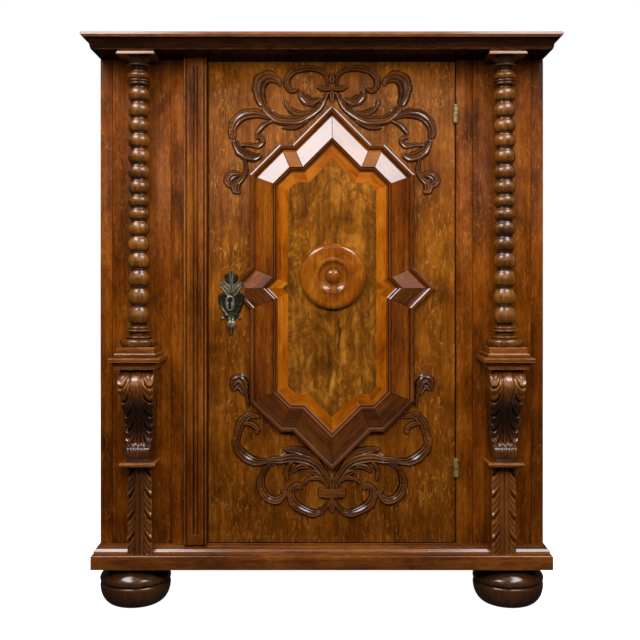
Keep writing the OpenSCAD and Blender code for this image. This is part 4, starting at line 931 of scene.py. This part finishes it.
def leaf_row(s, y, core, pitch, drop, lines, hook, bud):
    """Relief in mm of a row of leaves that sweep down from a core and hook up at the edge.

    s runs from -1 to 1 across, y is the distance from the top in mm.
    """
    out = max(0.0, (abs(s) - core) / (1 - core))
    f = ((y - drop * sin(hook * pi * out)) / pitch) % 1.0
    cuts = 1 - abs(sin(pi * lines * f)) ** 0.7
    eye = exp(-(min(f, 1 - f) / 0.09) ** 2)
    tip = exp(-((f - 0.8) / 0.14) ** 2) * out ** 2
    return -2.3 * cuts * min(1, out * 4) - 5.0 * eye * min(1, out * 2.5) + bud * tip


CONSOLE_Z0, CONSOLE_H, CONSOLE_P = 314.4, 193.6, 92.0
# Shares of the height from the top: half the width, half the leaf's middle rib
CONSOLE_HALF = [(0, 36), (0.12, 36.5), (0.4, 32.5), (0.62, 29), (0.8, 27), (1, 23)]
CONSOLE_RIB = [(0, 0.34), (0.2, 0.3), (0.42, 0.2), (0.6, 0.16), (0.8, 0.14), (1, 0.14)]
# Painted light on the breast, which faces up, and painted shade on the waist under the overhang and
# on the curl: shares from the bottom
CONSOLE_LIGHT_AND_SHADE = [(0, -0.5), (0.2, -0.45), (0.34, -0.9), (0.56, -0.95), (0.68, -0.35), (0.78, 0.1),
                (0.88, 0.3), (0.92, 0.1), (1, -0.1)]
console_line = [(q.x, q.y) for q in smooth_line([(1 - t, CONSOLE_P + dp) for dp, t in (
    (-17, 1), (-9, 0.94), (-1.8, 0.88), (-0.3, 0.82), (-13, 0.69), (-28, 0.56), (-39, 0.43),
    (-42, 0.3), (-39.5, 0.2), (-30, 0.14), (-26, 0.08), (-26.5, 0.05), (-31, 0))], 8)]


def console_relief(s, y):
    """Relief in mm of a console's leaf: a broad middle rib, sweeping side leaves, a ribbed curl."""
    t = y / CONSOLE_H
    core = between(CONSOLE_RIB, t)
    rib = max(0.0, 1 - (s / core) ** 2) if abs(s) < core else 0.0
    edge = exp(-((abs(s) - core) / 0.07) ** 2)
    leaves = leaf_row(s, y - 6, core, 31.0, 30.0, 2, 0.62, 3.0) if abs(s) > core else 0.0
    upper = 1.6 * sqrt(rib) - 2.4 * edge + leaves * min(1.0, 0.2 + y / 48)
    curl = 1.2 * abs(sin(pi * 3.5 * (s + 1))) - 1.2
    blend = min(1.0, max(0.0, (t - 0.8) / 0.04))
    return upper * (1 - blend) + curl * blend


for side, hand in SIDES:
    def place(u, t, x=hand * COLUMN_X):
        y = CONSOLE_H * t
        s, depth = across_and_depth(u)
        f = ((y - 6 - 27.0 * sin(0.62 * pi)) / 31.0) % 1.0
        scallop = 2.6 * (abs(sin(pi * f)) ** 0.6) if t < 0.8 else 2.2
        p = between(console_line, t) + (console_relief(s, y) - 3.5 * abs(s) ** 6)
        return at(x + s * (between(CONSOLE_HALF, t) - 2.6 + scallop), p * depth,
                  CONSOLE_Z0 + CONSOLE_H - y)
    piece("carved_console_" + side, shaped_grid(100, 150, place), "cabinet", console_oak,
          ["console_" + side], sharp=80, wear_and_shade=1.8,
          marks_and_shade=lambda x, p, z: between(CONSOLE_LIGHT_AND_SHADE, (z - CONSOLE_Z0) / CONSOLE_H))

PILASTER_Z0, PILASTER_H, PILASTER_P, PILASTER_W = 117.0, 187.3, 47.0, 51.5
PILASTER_CORE = 0.36  # share of the width that two plain ribs take in the middle
BASE_Z, BASE_P = 128.9, 30.4  # it stands before the base moulding's face below this height
for side, hand in SIDES:
    def place(u, t, x=hand * COLUMN_X):
        y = PILASTER_H * t
        z = PILASTER_Z0 + PILASTER_H - y
        s, depth = across_and_depth(u)
        core = PILASTER_CORE
        if abs(s) < core:
            relief = 4.2 * sqrt(max(0.0, 1 - ((abs(s) - core / 2) / (core / 2)) ** 2)) - 4.4
        else:
            relief = leaf_row(s, y - 2, core, 46.0, 22.0, 3, 0.42, 5.0) - 3.5
        f = ((y - 2 - 22.0 * sin(0.42 * pi)) / 46.0) % 1.0
        half = PILASTER_W / 2 - 2.2 * (1 - abs(sin(pi * f)) ** 0.5)
        low = BASE_P if z < BASE_Z else 0.0
        p = PILASTER_P + relief - 2.5 * abs(s) ** 6
        return at(x + s * half, low + (p - low) * depth, z)
    piece("leaf_pilaster_" + side, shaped_grid(90, 150, place), "cabinet", console_oak,
          ["pilaster_" + side], sharp=80, wear_and_shade=2.2)

# ---- key plate
PLATE_X, KEY_X, KEY_Z = -194.0, -197.0, 650.5
HOLE_R, SLOT_HALF, SLOT_FOOT = 5.5, 3.0, 19.5  # a round hole, half the slot's width, its length
PLATE_LEAVES = [
    ((3, 10, 2), [(0, 42), (0, 54), (0, 65)]),
    ((8, 7, 9), [(0, 44), (0, 30), (0, 17)]),
    ((4, 6, 5), [(1, 36), (8, 43), (11, 51), (7, 55)]),
    ((6, 8, 2), [(2, 18), (8, 29), (16, 36), (25, 36)]),
    ((5, 8, 3), [(5, 9), (12, 20), (18, 28), (25, 30)]),
    ((5, 5, 5), [(8, 9), (15, 13), (23, 10), (25, 1), (22, -8), (16, -11)]),
    ((5, 6, 5), [(23, -7), (18, -19), (12, -28), (6, -33)]),
    ((4, 5, 5), [(5, -29), (12, -32), (17, -37)]),
    ((9, 15, 13), [(0, -25), (0, -34), (0, -42)]),
    ((9, 5, 1), [(0, -56), (0, -66), (0, -75)])]
bm = bmesh.new()
for side in (-1, 1):
    for widths, points in PLATE_LEAVES:
        leaf_stroke(bm, widths, points, PLATE_X, KEY_Z, 4.2, side)
    knob(bm, PLATE_X + 18 * side, 3, KEY_Z - 38, 3.6, 0.8)
knob(bm, PLATE_X, 3.5, KEY_Z - 51, 9.5, 0.55)
# A thin ground closes the heart behind the scrolls
heart = [(0, 14), (8, 19), (16, 19), (24, 12), (25, 0), (21, -10), (14, -22), (6, -32)]
heart += [(-x, z) for x, z in heart[:0:-1]] + [(0, -33)]
ground = ops.contextual_create(bm, geom=[
    bm.verts.new(at(PLATE_X + x, 0.2, KEY_Z + z)) for x, z in heart])["faces"]
raised = ops.extrude_face_region(bm, geom=ground)["geom"]
ops.translate(bm, vec=(0, -0.9 * MM, 0),
              verts=[v for v in raised if isinstance(v, bmesh.types.BMVert)])
ops.recalc_face_normals(bm, faces=bm.faces)


def keyhole_edge(a):
    """Point of the keyhole's outline in the direction a from its middle, in mm."""
    c, s = cos(a), sin(a)
    if s < 0 and abs(c / s) < SLOT_HALF / SLOT_FOOT:
        return Vector((-SLOT_FOOT * c / s, -SLOT_FOOT))
    slot = s < 0 and abs(c) < 0.46
    return Vector((c, s)) * (SLOT_HALF / abs(c) if slot else HOLE_R)


# Share of the way from the shield's oval edge to the keyhole, and height there
SHIELD = ((0, 0), (0, 2.0), (0.25, 3.2), (0.6, 3.6), (0.9, 3.0), (1, 2.2), (1, 0))


def shield(u, t):
    a = tau * u - pi / 2 + 0.01
    outer = Vector((10.5 * cos(a), -6 + 17 * sin(a)))
    share, lift = SHIELD[round(t * len(SHIELD)) % len(SHIELD)]
    q = outer.lerp(keyhole_edge(a), share)
    return at(KEY_X + q.x, lift, KEY_Z + q.y)


add_to(bm, shaped_grid(64, len(SHIELD), shield))
piece("cast_key_plate", bm, "door", plate_brass, ["key_plate"], sharp=60, wear_and_shade=2.6,
      marks_and_shade=lambda x, p, z: -2.0 if p < 1.5 else -0.15)

# ---- what stays as the CAD made it
for finish, cad_nodes in (
        (hinge_brass, ("hinge_frame_leaves", "hinge_door_leaves", "hinge_pins",
                       "hinge_screws_frame", "hinge_screws_door")),
        (lock_iron, ("lock_case", "lock_keep")), (bolt_steel, ("lock_bolt",))):
    for cad_node in cad_nodes:
        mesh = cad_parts[cad_node].data
        mesh.materials.clear()
        mesh.materials.append(finish)

# ---- floor
bm = bmesh.new()
ops.create_grid(bm, x_segments=1, y_segments=1, size=6)
mesh = meshed("floor", bm)
floor = added("floor", mesh)
paper, matt = new_material("white_paper")
feed(paper, matt, {"Base Color": linear("#f4f4f4"), "Roughness": 0.9,
                   "Emission Color": (1, 1, 1, 1), "Emission Strength": 1.0})
mesh.materials.append(paper)
floor.visible_glossy = False
floor.visible_diffuse = False
